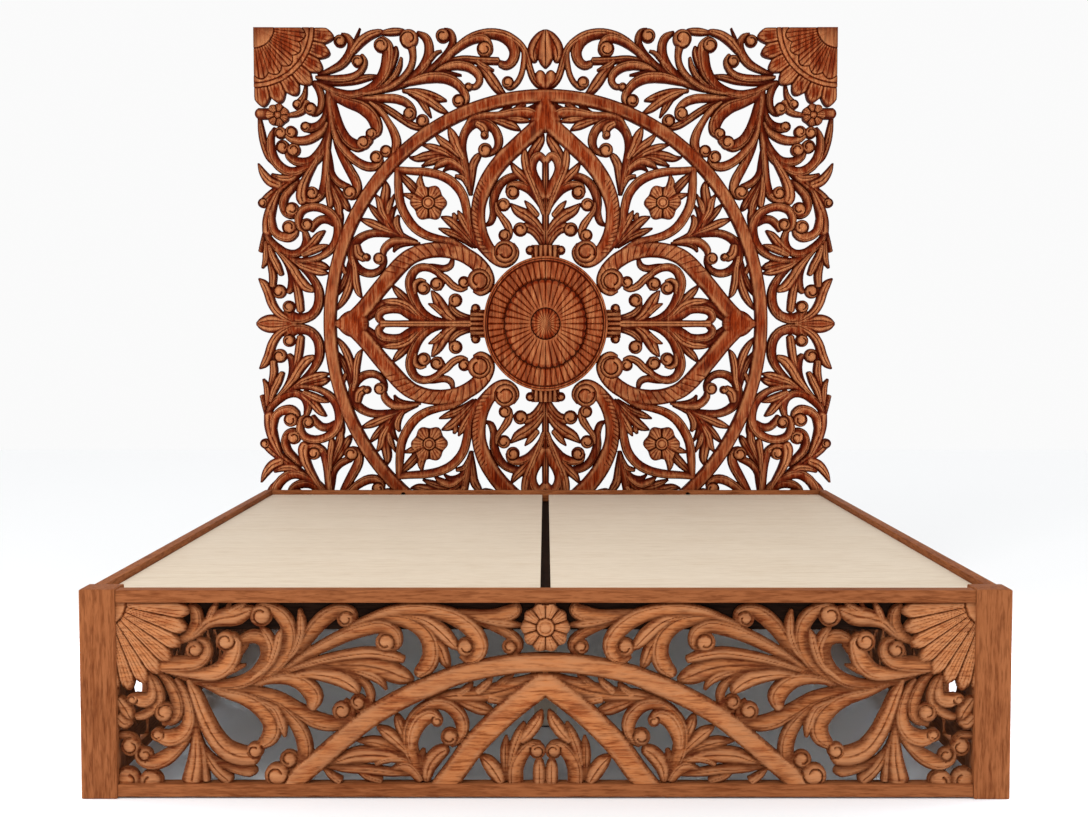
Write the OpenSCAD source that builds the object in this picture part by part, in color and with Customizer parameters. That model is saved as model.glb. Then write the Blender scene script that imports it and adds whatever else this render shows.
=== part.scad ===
// Carved bed with a tall pierced headboard, a low pierced footboard and pierced sides.
// Millimetres. Origin on the floor under the middle of the bed, +Y towards the headboard, +Z up.

/* [Bed] */
// Width over the outer faces of the foot posts
bed_w = 2076; // [2060:2:2090]
// Length from the front of the foot posts to the front of the headboard
bed_l = 2150; // [2100:10:2300]
// Height of the deck surface above the floor
deck_top = 455; // [450:1:460]

/* [Posts and rails] */
// Side of the square foot posts
post = 80; // [76:1:84]
// Height of the foot posts
post_h = 472; // [472:1:480]
// Height of every rail
rail_h = 28; // [26:1:30]
// Height of the top rails' upper face above the floor
rail_top = 470; // [468:1:472]
// Gap between the floor and the bottom rails
rail_gap = 4; // [2:1:8]
// Depth of the foot rails from front to back
foot_rail_d = 40; // [36:1:44]
// Width of the side rails
side_rail_w = 28; // [26:1:32]
// Step from the post's outer face in to the side rail
side_inset = 9; // [6:1:12]
// Step from the post's front face in to the foot rail
foot_inset = 4; // [2:1:8]

/* [Carved panels] */
// Thickness of the headboard
head_t = 38; // [34:1:44]
// Height of the medallion's centre above the floor
head_mid = 1079; // [1072:1:1090]
// Thickness of the foot and side panels
panel_t = 24; // [20:1:28]
// Depth of the grooves that hold the panels' tongues
groove = 6; // [4:1:8]
// Extra width that fuses touching scrolls
fuse = 1.5; // [1:0.5:3]

/* [Deck] */
// Thickness of the two deck boards
deck_t = 25; // [18:1:27]
// Gap between the two deck boards
deck_gap = 24; // [16:2:30]
// Height of the ledgers and of the centre beam's bearing
ledger_h = 53; // [45:1:60]
// Width of the centre beam
beam_w = 60; // [50:5:70]

/* [Hidden] */

$fn = 48;

// Planes across the bed
post_x = bed_w / 2;
open_x = post_x - post;
rail_x = post_x - side_inset;
deck_side_x = rail_x - side_rail_w;

// Planes along the bed: the whole length, headboard included, is centred on the origin
foot_y = -(bed_l + head_t) / 2;
head_y = foot_y + bed_l;
head_back_y = head_y + head_t;
post_back_y = foot_y + post;
rail_front_y = foot_y + foot_inset;
rail_back_y = rail_front_y + foot_rail_d;
panel_front_y = rail_front_y + 4;
panel_back_y = panel_front_y + panel_t;
head_leg_d = 60;
leg_front_y = head_y - head_leg_d;

// Heights
open_top = rail_top - rail_h;
open_low = rail_gap + rail_h;
deck_low = deck_top - deck_t;
ledger_low = deck_low - ledger_h;

// Joinery
tenon_l = 30;
tenon_t = 12;
top_tenon_z = open_top + groove + 2;
top_tenon_h = rail_top - 4 - top_tenon_z;
low_tenon_z = rail_gap + 4;
low_tenon_h = open_low - groove - 2 - low_tenon_z;
ledger_d = 28;
clear = 2;

// The carved outlines are drawn for these sizes
DRAWN_HEAD_HALF_H = 1069;
DRAWN_FOOT_HALF_W = 957;
DRAWN_FOOT_LOW = 15;
DRAWN_FOOT_H = 410;
// A stroke gets an extra point where it turns by more than 45 degrees
BEND_COS = 0.7;

// Hardware
bracket_l = 60;
bracket_w = 24;
bracket_t = 3;
screw_d = 5;
screw_l = 22;
bolt_d = 8;
insert_d = 14;
insert_l = 22;
head_bolts = [[988, 130], [988, 250], [520, rail_top - 14]];

wood = [0.62, 0.36, 0.21];
wood_deep = [0.50, 0.27, 0.15];
pine = [0.88, 0.80, 0.66];
steel = [0.62, 0.63, 0.65];
brass = [0.72, 0.58, 0.30];

// Every stroke is a list of points on its centre line, as [across, up, width].
// The headboard's points are measured from the medallion's centre, and one quarter is listed.
// The foot panel's points are measured from the middle of the bed and from the floor line below it.
// Scrolls and leaves that spring from the corner fan of the headboard
HEAD_CORNER_SCROLLS = [
    [[845, 874, 16], [828, 858, 26], [818, 832, 26], [815, 808, 26], [820, 784, 24], [835, 765, 18],
     [852, 760, 10]],
    [[872, 862, 10], [877, 832, 18], [888, 810, 28], [903, 796, 28]],
    [[866, 806, 22], [878, 780, 22], [902, 764, 20], [938, 757, 14]],
    [[828, 906, 8], [790, 917, 20], [742, 942, 30], [712, 980, 32], [706, 1015, 26], [718, 1040, 20],
     [740, 1049, 12]],
    [[835, 895, 10], [780, 890, 22], [722, 892, 26], [685, 905, 24], [662, 930, 20], [657, 955, 18],
     [668, 975, 12]],
    [[835, 880, 8], [770, 874, 18], [700, 882, 26], [650, 894, 24], [607, 900, 8]],
    [[842, 880, 8], [800, 860, 20], [760, 842, 26], [710, 832, 30], [660, 842, 32], [612, 872, 36],
     [582, 920, 42], [572, 975, 42], [572, 1010, 32], [590, 1032, 18], [606, 1030, 10]],
    [[640, 850, 8], [590, 862, 14], [552, 895, 18], [532, 930, 18], [524, 965, 8]],
    [[570, 900, 10], [555, 945, 22], [546, 980, 24], [543, 1006, 8]],
    [[710, 975, 8], [698, 990, 22], [672, 1022, 32], [640, 1045, 30], [608, 1056, 22], [590, 1060, 8]],
    [[705, 985, 6], [690, 1030, 12], [674, 1072, 4]],
    [[600, 1054, 12], [560, 1058, 26], [528, 1060, 22], [512, 1062, 8]],
    [[690, 835, 6], [640, 838, 16], [590, 850, 20], [545, 872, 22], [512, 900, 22], [490, 932, 22],
     [482, 965, 22], [486, 1000, 28], [494, 1020, 34]],
    [[600, 842, 6], [560, 852, 12], [515, 872, 20], [475, 902, 28], [445, 932, 34], [426, 972, 34],
     [424, 1010, 32], [436, 1038, 28], [465, 1056, 12]],
    [[450, 925, 8], [424, 952, 14], [400, 980, 14], [378, 990, 6]],
    [[620, 840, 6], [580, 848, 12], [520, 868, 22], [460, 896, 24], [410, 930, 24], [370, 968, 24],
     [346, 1000, 24], [336, 1032, 24], [346, 1058, 20], [368, 1068, 10]],
    [[385, 940, 8], [360, 958, 20], [326, 998, 22], [288, 1030, 24], [246, 1050, 24], [196, 1058, 24],
     [145, 1048, 26], [104, 1024, 24], [80, 998, 22], [67, 966, 22], [58, 930, 24], [46, 894, 24],
     [27, 868, 20], [4, 857, 10]],
    [[96, 1010, 8], [80, 985, 14], [80, 945, 18], [88, 905, 18], [105, 874, 18], [128, 856, 14],
     [148, 862, 8]],
    [[215, 1046, 18], [165, 1044, 32], [128, 1024, 40], [112, 988, 38], [120, 955, 34], [142, 938, 30],
     [165, 944, 24]],
    [[382, 938, 8], [362, 960, 18], [334, 988, 24], [296, 1016, 28], [258, 1032, 28], [226, 1034, 28],
     [206, 1018, 22], [200, 992, 18], [212, 972, 12]],
    [[395, 925, 8], [360, 948, 20], [300, 960, 26], [240, 956, 26], [172, 954, 26]],
    [[250, 952, 16], [225, 934, 22], [188, 920, 6]],
    [[400, 915, 8], [365, 930, 22], [320, 938, 30], [278, 930, 30], [248, 908, 28], [240, 882, 24],
     [254, 862, 20], [278, 860, 16]],
    [[245, 938, 14], [215, 912, 32], [190, 878, 38], [168, 848, 30], [150, 830, 18]],
    [[520, 866, 8], [490, 876, 20], [430, 892, 34], [372, 893, 36], [328, 876, 34], [300, 848, 30],
     [288, 820, 24], [294, 798, 16], [310, 788, 8]],
    [[500, 884, 6], [470, 892, 14], [420, 905, 22], [360, 908, 22], [306, 903, 6]],
    [[520, 846, 10], [470, 842, 26], [430, 832, 32], [395, 820, 28], [360, 811, 6]],
    [[510, 846, 10], [465, 832, 26], [420, 808, 30], [385, 782, 26], [352, 763, 6]],
    [[500, 838, 8], [460, 818, 22], [436, 785, 24], [417, 750, 6]],
    [[720, 824, 6], [665, 818, 14], [600, 819, 26], [548, 818, 30], [508, 804, 28], [484, 778, 24],
     [482, 752, 16], [494, 742, 8]],
    [[710, 815, 8], [650, 806, 16], [600, 793, 22], [560, 770, 26], [520, 743, 26], [485, 722, 26],
     [450, 714, 22], [428, 722, 12]],
    [[795, 850, 10], [765, 825, 26], [720, 805, 36], [672, 788, 44], [636, 760, 46], [618, 728, 44],
     [616, 700, 36], [630, 688, 24]],
    [[640, 805, 8], [602, 775, 20], [572, 732, 24], [552, 695, 30], [543, 660, 32], [550, 632, 26],
     [566, 616, 16], [582, 612, 8]],
    [[788, 850, 14], [775, 800, 26], [762, 750, 30], [745, 705, 32], [722, 668, 38], [690, 648, 42],
     [668, 650, 38]],
    [[660, 670, 30], [650, 664, 36], [640, 672, 26]],
    [[792, 850, 14], [798, 790, 14], [806, 750, 22], [825, 723, 30], [852, 712, 34], [874, 716, 34]],
    [[790, 850, 16], [788, 800, 20], [785, 750, 18], [787, 700, 20], [796, 640, 24], [800, 580, 26],
     [804, 530, 28], [810, 495, 30], [822, 465, 26], [848, 450, 24], [878, 450, 20]],
    [[782, 800, 6], [776, 740, 14], [768, 695, 20], [751, 655, 24], [722, 620, 28], [690, 592, 30],
     [655, 574, 32], [622, 573, 28], [600, 590, 18], [602, 610, 8]],
];
// Foliage down the side edge of the headboard
HEAD_SIDE_FOLIAGE = [
    [[1045, 772, 5], [1036, 705, 22], [1026, 655, 26], [1006, 607, 28], [975, 570, 14]],
    [[985, 712, 10], [1000, 680, 22], [1001, 640, 28], [990, 600, 32], [966, 570, 34], [930, 553, 34],
     [892, 560, 30], [850, 582, 26], [818, 612, 22], [798, 650, 16], [792, 690, 8]],
    [[948, 706, 10], [938, 682, 22], [915, 668, 26], [880, 666, 30], [848, 676, 30], [815, 697, 22],
     [795, 730, 10]],
    [[944, 640, 8], [938, 612, 22], [915, 594, 30], [880, 588, 32], [850, 600, 28], [820, 636, 24],
     [802, 680, 14], [795, 720, 6]],
    [[1047, 583, 4], [1031, 550, 24], [1006, 520, 34], [972, 505, 32]],
    [[1030, 440, 34], [1005, 466, 34], [970, 494, 32], [935, 520, 28], [900, 547, 22], [868, 572, 12]],
    [[998, 542, 12], [965, 530, 26], [930, 530, 26], [905, 545, 12]],
    [[820, 625, 6], [842, 582, 18], [866, 542, 26], [884, 502, 34], [890, 465, 40], [884, 445, 36]],
    [[895, 522, 12], [920, 498, 24], [948, 468, 28], [958, 436, 30], [948, 406, 30], [925, 396, 26],
     [906, 410, 14]],
    [[880, 450, 18], [845, 450, 22], [820, 468, 20]],
    [[790, 640, 8], [786, 590, 18], [782, 552, 22], [765, 524, 24], [738, 505, 26], [715, 500, 16]],
    [[772, 720, 8], [763, 665, 20], [745, 617, 26], [718, 567, 32], [695, 525, 34], [686, 492, 30],
     [694, 466, 20], [714, 456, 10]],
    [[790, 540, 8], [792, 490, 20], [786, 445, 26], [787, 420, 8]],
    [[785, 525, 6], [776, 480, 16], [763, 435, 22], [751, 395, 24], [744, 362, 6]],
    [[785, 515, 6], [768, 470, 18], [752, 430, 20], [752, 400, 16]],
    [[790, 530, 6], [770, 500, 18], [748, 465, 28], [728, 430, 26], [716, 412, 8]],
    [[965, 500, 10], [985, 460, 24], [1002, 420, 36], [1012, 375, 42], [1014, 335, 40]],
    [[1000, 412, 14], [1000, 368, 26], [991, 338, 28], [968, 320, 32], [938, 316, 34], [916, 328, 24],
     [908, 340, 10]],
    [[1020, 335, 14], [1010, 308, 24], [986, 281, 30], [950, 260, 28], [915, 256, 28], [886, 272, 30],
     [874, 300, 30], [878, 328, 22], [886, 345, 12]],
    [[880, 336, 8], [898, 350, 18], [903, 385, 26], [888, 414, 28], [852, 426, 28], [812, 419, 30],
     [776, 395, 32], [758, 355, 32], [762, 312, 32], [780, 278, 30], [815, 249, 24], [860, 234, 20],
     [905, 232, 16], [945, 246, 12]],
    [[856, 338, 14], [846, 360, 26], [824, 379, 28], [798, 380, 28], [774, 364, 20]],
    [[806, 340, 5], [828, 322, 26], [848, 298, 32], [872, 275, 28], [905, 252, 12]],
    [[796, 287, 6], [822, 279, 22], [850, 268, 26], [888, 250, 16]],
    [[790, 202, 5], [822, 211, 34], [862, 219, 28], [910, 228, 12]],
    [[796, 184, 6], [828, 190, 28], [862, 200, 28], [898, 215, 20], [935, 240, 12]],
    [[1041, 264, 18], [1034, 300, 16], [1026, 340, 12]],
    [[1037, 203, 5], [1025, 228, 20], [1021, 265, 22], [1021, 300, 14]],
    [[966, 179, 16], [981, 212, 26], [998, 246, 24], [1010, 285, 12]],
    [[1000, 138, 24], [998, 178, 28], [1006, 215, 22], [1016, 250, 10]],
    [[1049, 165, 4], [1030, 145, 26], [1016, 115, 30], [1003, 75, 30], [982, 42, 28], [952, 20, 24],
     [925, 8, 14]],
    [[944, 115, 18], [932, 132, 26], [929, 168, 26], [937, 205, 26], [957, 238, 20], [985, 268, 10]],
    [[898, 48, 26], [903, 90, 30], [910, 132, 26], [922, 170, 12]],
    [[852, 122, 18], [880, 137, 34], [905, 170, 32], [926, 205, 26], [952, 236, 18], [985, 270, 8]],
    [[940, 236, 10], [893, 207, 20], [855, 168, 26], [834, 130, 32], [829, 92, 34], [838, 56, 34],
     [864, 28, 34], [905, 18, 38], [936, 30, 38], [944, 50, 30]],
    [[1057, 0, 8], [1030, 8, 36], [1000, 12, 42], [960, 8, 26], [915, 0, 14]],
];
// Acanthus sprays between the arches and the great ring
HEAD_RING_SPRAYS = [
    [[275, 470, 10], [290, 530, 26], [322, 588, 32], [380, 614, 36], [435, 610, 34], [470, 602, 22],
     [497, 606, 5]],
    [[320, 595, 14], [365, 624, 26], [410, 641, 26], [450, 652, 5]],
    [[315, 610, 14], [345, 640, 26], [378, 664, 26], [404, 692, 5]],
    [[330, 598, 12], [380, 600, 24], [420, 588, 22], [452, 574, 5]],
    [[300, 560, 12], [345, 590, 24], [382, 582, 24], [408, 562, 5]],
    [[290, 535, 12], [320, 566, 22], [350, 572, 20], [373, 556, 5]],
    [[285, 500, 12], [300, 530, 20], [328, 538, 12]],
    [[300, 600, 14], [322, 640, 32], [337, 680, 34], [353, 716, 6]],
    [[272, 470, 12], [284, 540, 24], [298, 600, 28], [304, 650, 28], [293, 697, 30], [264, 728, 34],
     [225, 732, 34], [188, 710, 32], [171, 672, 32], [176, 640, 26], [198, 620, 16], [215, 612, 8]],
    [[250, 728, 22], [225, 712, 30], [221, 688, 24]],
    [[270, 478, 8], [268, 535, 24], [264, 578, 30], [250, 605, 26], [236, 620, 8]],
    [[272, 560, 14], [258, 580, 12], [246, 586, 4]],
    [[298, 705, 8], [270, 744, 18], [225, 756, 22], [170, 757, 26], [120, 764, 36], [75, 767, 40],
     [42, 762, 26], [25, 752, 6]],
    [[180, 757, 12], [148, 775, 20], [126, 797, 14]],
    [[130, 766, 14], [100, 782, 22], [76, 800, 16]],
    [[80, 772, 14], [48, 785, 20], [24, 803, 8]],
    [[230, 750, 8], [175, 738, 20], [125, 722, 30], [92, 704, 6]],
    [[150, 748, 8], [100, 742, 22], [55, 736, 6]],
    [[470, 300, 10], [520, 318, 24], [560, 345, 34], [582, 390, 38], [588, 440, 36], [582, 490, 30],
     [585, 521, 5]],
    [[575, 370, 12], [598, 410, 26], [606, 445, 24], [622, 472, 5]],
    [[560, 350, 12], [595, 378, 26], [625, 412, 24], [648, 438, 5]],
    [[530, 325, 12], [585, 345, 24], [635, 366, 30], [678, 382, 8]],
    [[575, 400, 10], [570, 430, 20], [551, 471, 5]],
    [[560, 365, 10], [563, 400, 20], [544, 432, 5]],
    [[520, 318, 12], [540, 350, 22], [545, 375, 22], [536, 395, 8]],
    [[470, 297, 8], [530, 318, 20], [590, 330, 26], [645, 328, 28], [690, 303, 32], [708, 262, 34],
     [700, 220, 30], [672, 192, 30], [637, 184, 28], [607, 196, 24], [590, 222, 18], [588, 248, 10]],
    [[690, 285, 24], [684, 255, 34], [664, 240, 30]],
    [[460, 293, 8], [515, 302, 20], [560, 298, 28], [588, 275, 26], [596, 250, 18]],
    [[470, 292, 8], [520, 292, 20], [546, 280, 18], [556, 262, 5]],
    [[706, 245, 10], [697, 200, 20], [694, 155, 26], [686, 118, 22], [674, 95, 5]],
    [[714, 245, 8], [722, 195, 22], [736, 155, 24], [752, 125, 18], [766, 101, 5]],
    [[708, 215, 8], [712, 160, 24], [728, 110, 28], [748, 75, 20], [768, 50, 5]],
    [[758, 255, 10], [745, 215, 14], [733, 185, 14]],
];
// Scroll trees inside the upright arch and the level arch
HEAD_ARCH_TREES = [
    [[0, 470, 14], [35, 506, 22], [75, 534, 24], [112, 538, 26], [148, 524, 28], [176, 492, 32],
     [190, 448, 30], [190, 405, 26], [200, 372, 22], [222, 357, 5]],
    [[8, 415, 16], [28, 455, 28], [60, 490, 30], [98, 506, 28], [130, 502, 20], [143, 478, 8]],
    [[180, 440, 8], [176, 412, 16], [158, 386, 22], [140, 360, 28], [131, 335, 22], [133, 312, 12],
     [148, 302, 6]],
    [[128, 438, 5], [102, 413, 34], [70, 395, 42], [38, 368, 34], [8, 330, 20]],
    [[76, 448, 4], [56, 425, 22], [30, 395, 20]],
    [[8, 285, 22], [22, 315, 30], [45, 342, 34], [75, 354, 36]],
    [[127, 590, 4], [110, 562, 26], [86, 538, 32], [58, 505, 26], [30, 465, 16], [8, 420, 12]],
    [[74, 640, 6], [76, 605, 26], [68, 560, 28], [48, 510, 26], [26, 455, 18], [8, 400, 12]],
    [[8, 692, 6], [18, 665, 28], [40, 632, 36], [55, 598, 34], [52, 558, 26], [38, 510, 22],
     [20, 460, 16]],
    [[2, 592, 22], [20, 611, 26], [40, 600, 30], [47, 570, 26], [42, 540, 30], [26, 505, 34],
     [10, 460, 26]],
    [[0, 285, 26], [0, 350, 24], [0, 450, 24], [0, 520, 24], [0, 605, 22]],
    [[275, 8, 20], [320, 10, 20], [380, 10, 20], [430, 26, 26], [464, 58, 30], [486, 102, 34],
     [497, 150, 34], [484, 188, 30], [455, 206, 28], [420, 202, 26], [388, 180, 22], [376, 150, 14],
     [388, 124, 8]],
    [[476, 110, 10], [478, 145, 16], [460, 160, 14], [440, 156, 8]],
    [[462, 212, 8], [415, 208, 22], [372, 202, 24], [348, 213, 22], [340, 238, 12]],
    [[410, 198, 8], [368, 168, 24], [340, 140, 26], [312, 127, 22], [288, 132, 12]],
    [[350, 85, 8], [344, 58, 20], [325, 38, 24], [300, 26, 24], [275, 20, 22]],
    [[418, 121, 4], [400, 95, 32], [382, 62, 44], [360, 32, 36], [330, 10, 18]],
    [[429, 73, 4], [405, 62, 20], [380, 40, 20]],
    [[563, 143, 4], [540, 116, 26], [510, 86, 30], [480, 50, 26], [450, 20, 18], [410, 6, 12]],
    [[602, 84, 5], [570, 82, 22], [535, 78, 28], [500, 62, 28], [465, 30, 20], [430, 8, 12]],
    [[675, 4, 8], [660, 18, 24], [632, 42, 34], [597, 66, 38], [556, 76, 30], [510, 60, 20]],
    [[596, 2, 22], [612, 24, 26], [598, 46, 28], [562, 53, 28], [528, 50, 30], [495, 32, 34],
     [450, 10, 26]],
    [[275, 0, 26], [400, 0, 22], [500, 0, 24], [560, 0, 22], [600, 0, 26]],
];
// Leaves inside the pointed frame of the flower
HEAD_FRAME_LEAVES = [
    [[545, 558, 8], [505, 520, 30], [470, 482, 34], [445, 455, 30]],
    [[518, 472, 8], [485, 462, 26], [450, 448, 26]],
    [[455, 541, 6], [458, 510, 26], [445, 480, 24]],
    [[255, 280, 12], [300, 330, 30], [345, 372, 34], [381, 390, 6]],
    [[255, 290, 12], [280, 340, 26], [303, 380, 28], [320, 412, 5]],
    [[265, 280, 10], [315, 318, 26], [355, 335, 26], [391, 348, 5]],
    [[330, 360, 10], [332, 392, 18], [338, 402, 5]],
];
// Upright arch, level arch and the two sides of the pointed frame
HEAD_BANDS = [
    [[0, 742, 60], [45, 700, 58], [95, 655, 58], [155, 598, 58], [200, 540, 56], [228, 485, 54],
     [244, 430, 50], [246, 375, 50], [236, 325, 50], [214, 278, 50], [182, 240, 46], [148, 225, 40],
     [118, 240, 30], [108, 265, 22], [120, 290, 14]],
    [[735, 0, 58], [697, 25, 56], [652, 72, 56], [607, 128, 56], [562, 180, 58], [525, 220, 58],
     [488, 248, 56], [435, 266, 54], [375, 270, 54], [315, 258, 54], [265, 232, 56], [228, 196, 54],
     [208, 160, 42], [212, 130, 30], [238, 112, 20], [262, 120, 12]],
    [[545, 562, 20], [500, 557, 24], [440, 553, 28], [385, 541, 30], [338, 515, 32], [304, 472, 32],
     [289, 420, 30], [282, 360, 26], [262, 310, 22], [238, 275, 16], [215, 245, 10]],
    [[540, 562, 20], [537, 500, 28], [530, 440, 30], [510, 393, 32], [480, 352, 32], [440, 325, 30],
     [395, 311, 26], [340, 298, 24], [290, 270, 20], [250, 240, 14], [220, 212, 8]],
];
// Tips where the upright and the level arch run into the great ring
HEAD_TIPS = [
    [[0, 812, 36], [0, 794, 48], [0, 770, 76], [0, 742, 110]],
    [[776, 0, 8], [742, 0, 46], [706, 0, 96], [690, 0, 84]],
];
// Round ends of the scrolls, as [across, up, radius]
HEAD_BALLS = [
    [855, 781, 22], [747, 1025, 22], [682, 952, 22], [597, 1010, 26], [496, 1032, 33], [373, 1044, 25],
    [222, 996, 27], [137, 876, 21], [316, 810, 23], [494, 763, 23], [448, 738, 23], [974, 758, 40],
    [965, 694, 21], [958, 644, 24], [926, 697, 21], [917, 632, 23], [852, 476, 23], [925, 418, 24],
    [714, 478, 25], [616, 606, 23], [581, 628, 21], [936, 352, 25], [872, 362, 22], [975, 118, 25],
    [940, 62, 22], [220, 632, 25], [608, 238, 21], [120, 478, 24], [153, 434, 23], [149, 322, 22],
    [92, 344, 25], [398, 145, 24], [447, 130, 24], [298, 152, 21], [330, 86, 24], [903, 796, 17],
    [874, 716, 18], [1032, 440, 17], [663, 658, 24], [634, 690, 20], [222, 686, 14], [655, 243, 14],
    [280, 860, 14], [147, 262, 42], [242, 159, 42],
];
// Scrolls and leaves of the outer part of the foot panel
FOOT_SCROLLS = [
    [[822, 335, 12], [797, 352, 22], [781, 376, 26], [783, 402, 24], [796, 417, 10]],
    [[822, 332, 8], [785, 350, 16], [755, 377, 24], [725, 388, 36], [695, 393, 42], [670, 402, 28],
     [652, 411, 5]],
    [[755, 380, 10], [745, 402, 16], [736, 422, 5]],
    [[722, 392, 14], [712, 408, 12], [706, 421, 4]],
    [[705, 400, 18], [682, 414, 16], [672, 421, 8]],
    [[705, 378, 16], [688, 380, 14], [676, 380, 5]],
    [[858, 282, 34], [815, 283, 34], [778, 288, 30], [758, 308, 24], [760, 330, 16], [778, 341, 8]],
    [[850, 268, 8], [795, 262, 18], [742, 264, 34], [714, 282, 40], [700, 306, 38], [692, 332, 24],
     [702, 352, 10]],
    [[715, 290, 20], [690, 308, 20], [668, 326, 5]],
    [[740, 262, 20], [705, 271, 18], [673, 281, 4]],
    [[845, 266, 6], [790, 246, 14], [735, 237, 20], [685, 241, 28], [645, 263, 32], [621, 300, 36],
     [628, 335, 32], [655, 346, 28], [682, 335, 22]],
    [[622, 285, 10], [612, 320, 22], [622, 348, 20], [637, 367, 5]],
    [[660, 248, 8], [618, 282, 14], [603, 315, 20], [596, 345, 18], [590, 362, 4]],
    [[655, 238, 6], [620, 262, 20], [592, 290, 28], [575, 322, 30], [572, 355, 32], [584, 386, 32],
     [608, 407, 26], [636, 415, 16], [655, 402, 8]],
    [[592, 280, 6], [562, 315, 16], [548, 350, 20], [546, 380, 18], [550, 407, 4]],
    [[600, 268, 6], [568, 300, 16], [542, 330, 26], [516, 366, 34], [488, 393, 34], [458, 407, 26],
     [434, 400, 20], [430, 383, 14], [440, 372, 8]],
    [[650, 238, 6], [590, 268, 12], [545, 298, 18], [495, 326, 26], [445, 350, 30], [400, 365, 32],
     [366, 369, 30], [338, 354, 28], [331, 330, 18], [345, 314, 8]],
    [[440, 368, 6], [400, 385, 14], [350, 402, 22], [300, 408, 28], [250, 404, 30], [205, 390, 34],
     [168, 365, 36], [147, 333, 34], [150, 306, 28], [172, 293, 16], [190, 302, 8]],
    [[210, 402, 8], [165, 396, 18], [120, 392, 26], [88, 396, 34], [68, 406, 28], [68, 421, 6]],
    [[170, 390, 6], [120, 380, 16], [85, 375, 18], [53, 371, 4]],
    [[165, 384, 6], [115, 366, 16], [80, 350, 22], [61, 330, 22], [66, 312, 14], [80, 306, 6]],
    [[420, 372, 6], [375, 386, 12], [335, 386, 26], [292, 373, 32], [264, 346, 36], [255, 312, 38],
     [264, 282, 38], [284, 263, 24]],
    [[305, 395, 8], [262, 380, 26], [230, 354, 32], [205, 328, 20], [195, 321, 8]],
    [[255, 350, 14], [236, 322, 26], [224, 290, 22], [218, 278, 8]],
    [[640, 236, 6], [570, 270, 12], [510, 290, 18], [450, 303, 22], [395, 309, 24], [350, 303, 24],
     [318, 294, 14]],
    [[610, 252, 6], [530, 275, 14], [470, 281, 24], [412, 281, 38], [360, 271, 46], [325, 257, 38],
     [298, 248, 8]],
    [[440, 272, 8], [400, 262, 20], [372, 248, 18], [357, 226, 4]],
    [[605, 245, 8], [545, 260, 16], [500, 260, 28], [460, 251, 34], [432, 235, 28], [420, 222, 12]],
    [[460, 270, 6], [425, 256, 14], [400, 234, 18], [392, 208, 18], [402, 184, 14], [424, 177, 6]],
    [[650, 237, 6], [610, 249, 18], [570, 250, 28], [538, 236, 38], [519, 210, 38], [524, 184, 18]],
    [[760, 240, 6], [700, 228, 16], [650, 221, 22], [600, 205, 28], [555, 178, 32], [510, 154, 36],
     [468, 148, 30], [438, 162, 20], [436, 188, 12], [450, 202, 6]],
    [[770, 238, 8], [720, 219, 20], [675, 206, 30], [638, 184, 38], [614, 150, 40], [618, 120, 38],
     [642, 98, 18]],
    [[645, 203, 10], [608, 184, 18], [592, 150, 22], [585, 119, 4]],
    [[650, 212, 6], [610, 196, 14], [575, 166, 24], [550, 131, 32], [540, 96, 34], [543, 66, 30],
     [558, 47, 18], [578, 44, 8]],
    [[800, 248, 8], [785, 216, 26], [768, 170, 34], [747, 126, 38], [720, 92, 42], [686, 76, 44],
     [655, 74, 38]],
    [[770, 95, 6], [740, 64, 12], [702, 46, 18], [666, 40, 24], [652, 44, 12]],
    [[785, 165, 6], [784, 115, 20], [786, 65, 36], [794, 20, 46]],
    [[780, 130, 4], [768, 85, 10], [762, 20, 14]],
    [[772, 102, 6], [755, 68, 20], [735, 40, 26], [712, 20, 28]],
    [[828, 250, 6], [812, 225, 16], [800, 190, 22], [799, 155, 28], [815, 127, 34], [843, 115, 36],
     [868, 122, 26]],
    [[872, 268, 6], [848, 246, 20], [829, 211, 28], [824, 178, 28], [836, 155, 18], [860, 149, 8]],
    [[886, 264, 6], [872, 236, 20], [865, 206, 20], [878, 183, 20], [900, 169, 20], [918, 164, 12]],
    [[888, 258, 6], [881, 226, 18], [886, 206, 26], [905, 202, 30], [922, 210, 18]],
    [[957, 205, 20], [940, 180, 34], [930, 160, 10]],
    [[960, 165, 24], [945, 150, 24], [930, 152, 10]],
    [[960, 122, 14], [935, 120, 18], [918, 105, 14], [918, 88, 8]],
    [[790, 150, 4], [800, 122, 14], [826, 92, 26], [855, 70, 34], [886, 58, 28], [912, 66, 16],
     [916, 84, 10], [905, 96, 4]],
];
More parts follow.
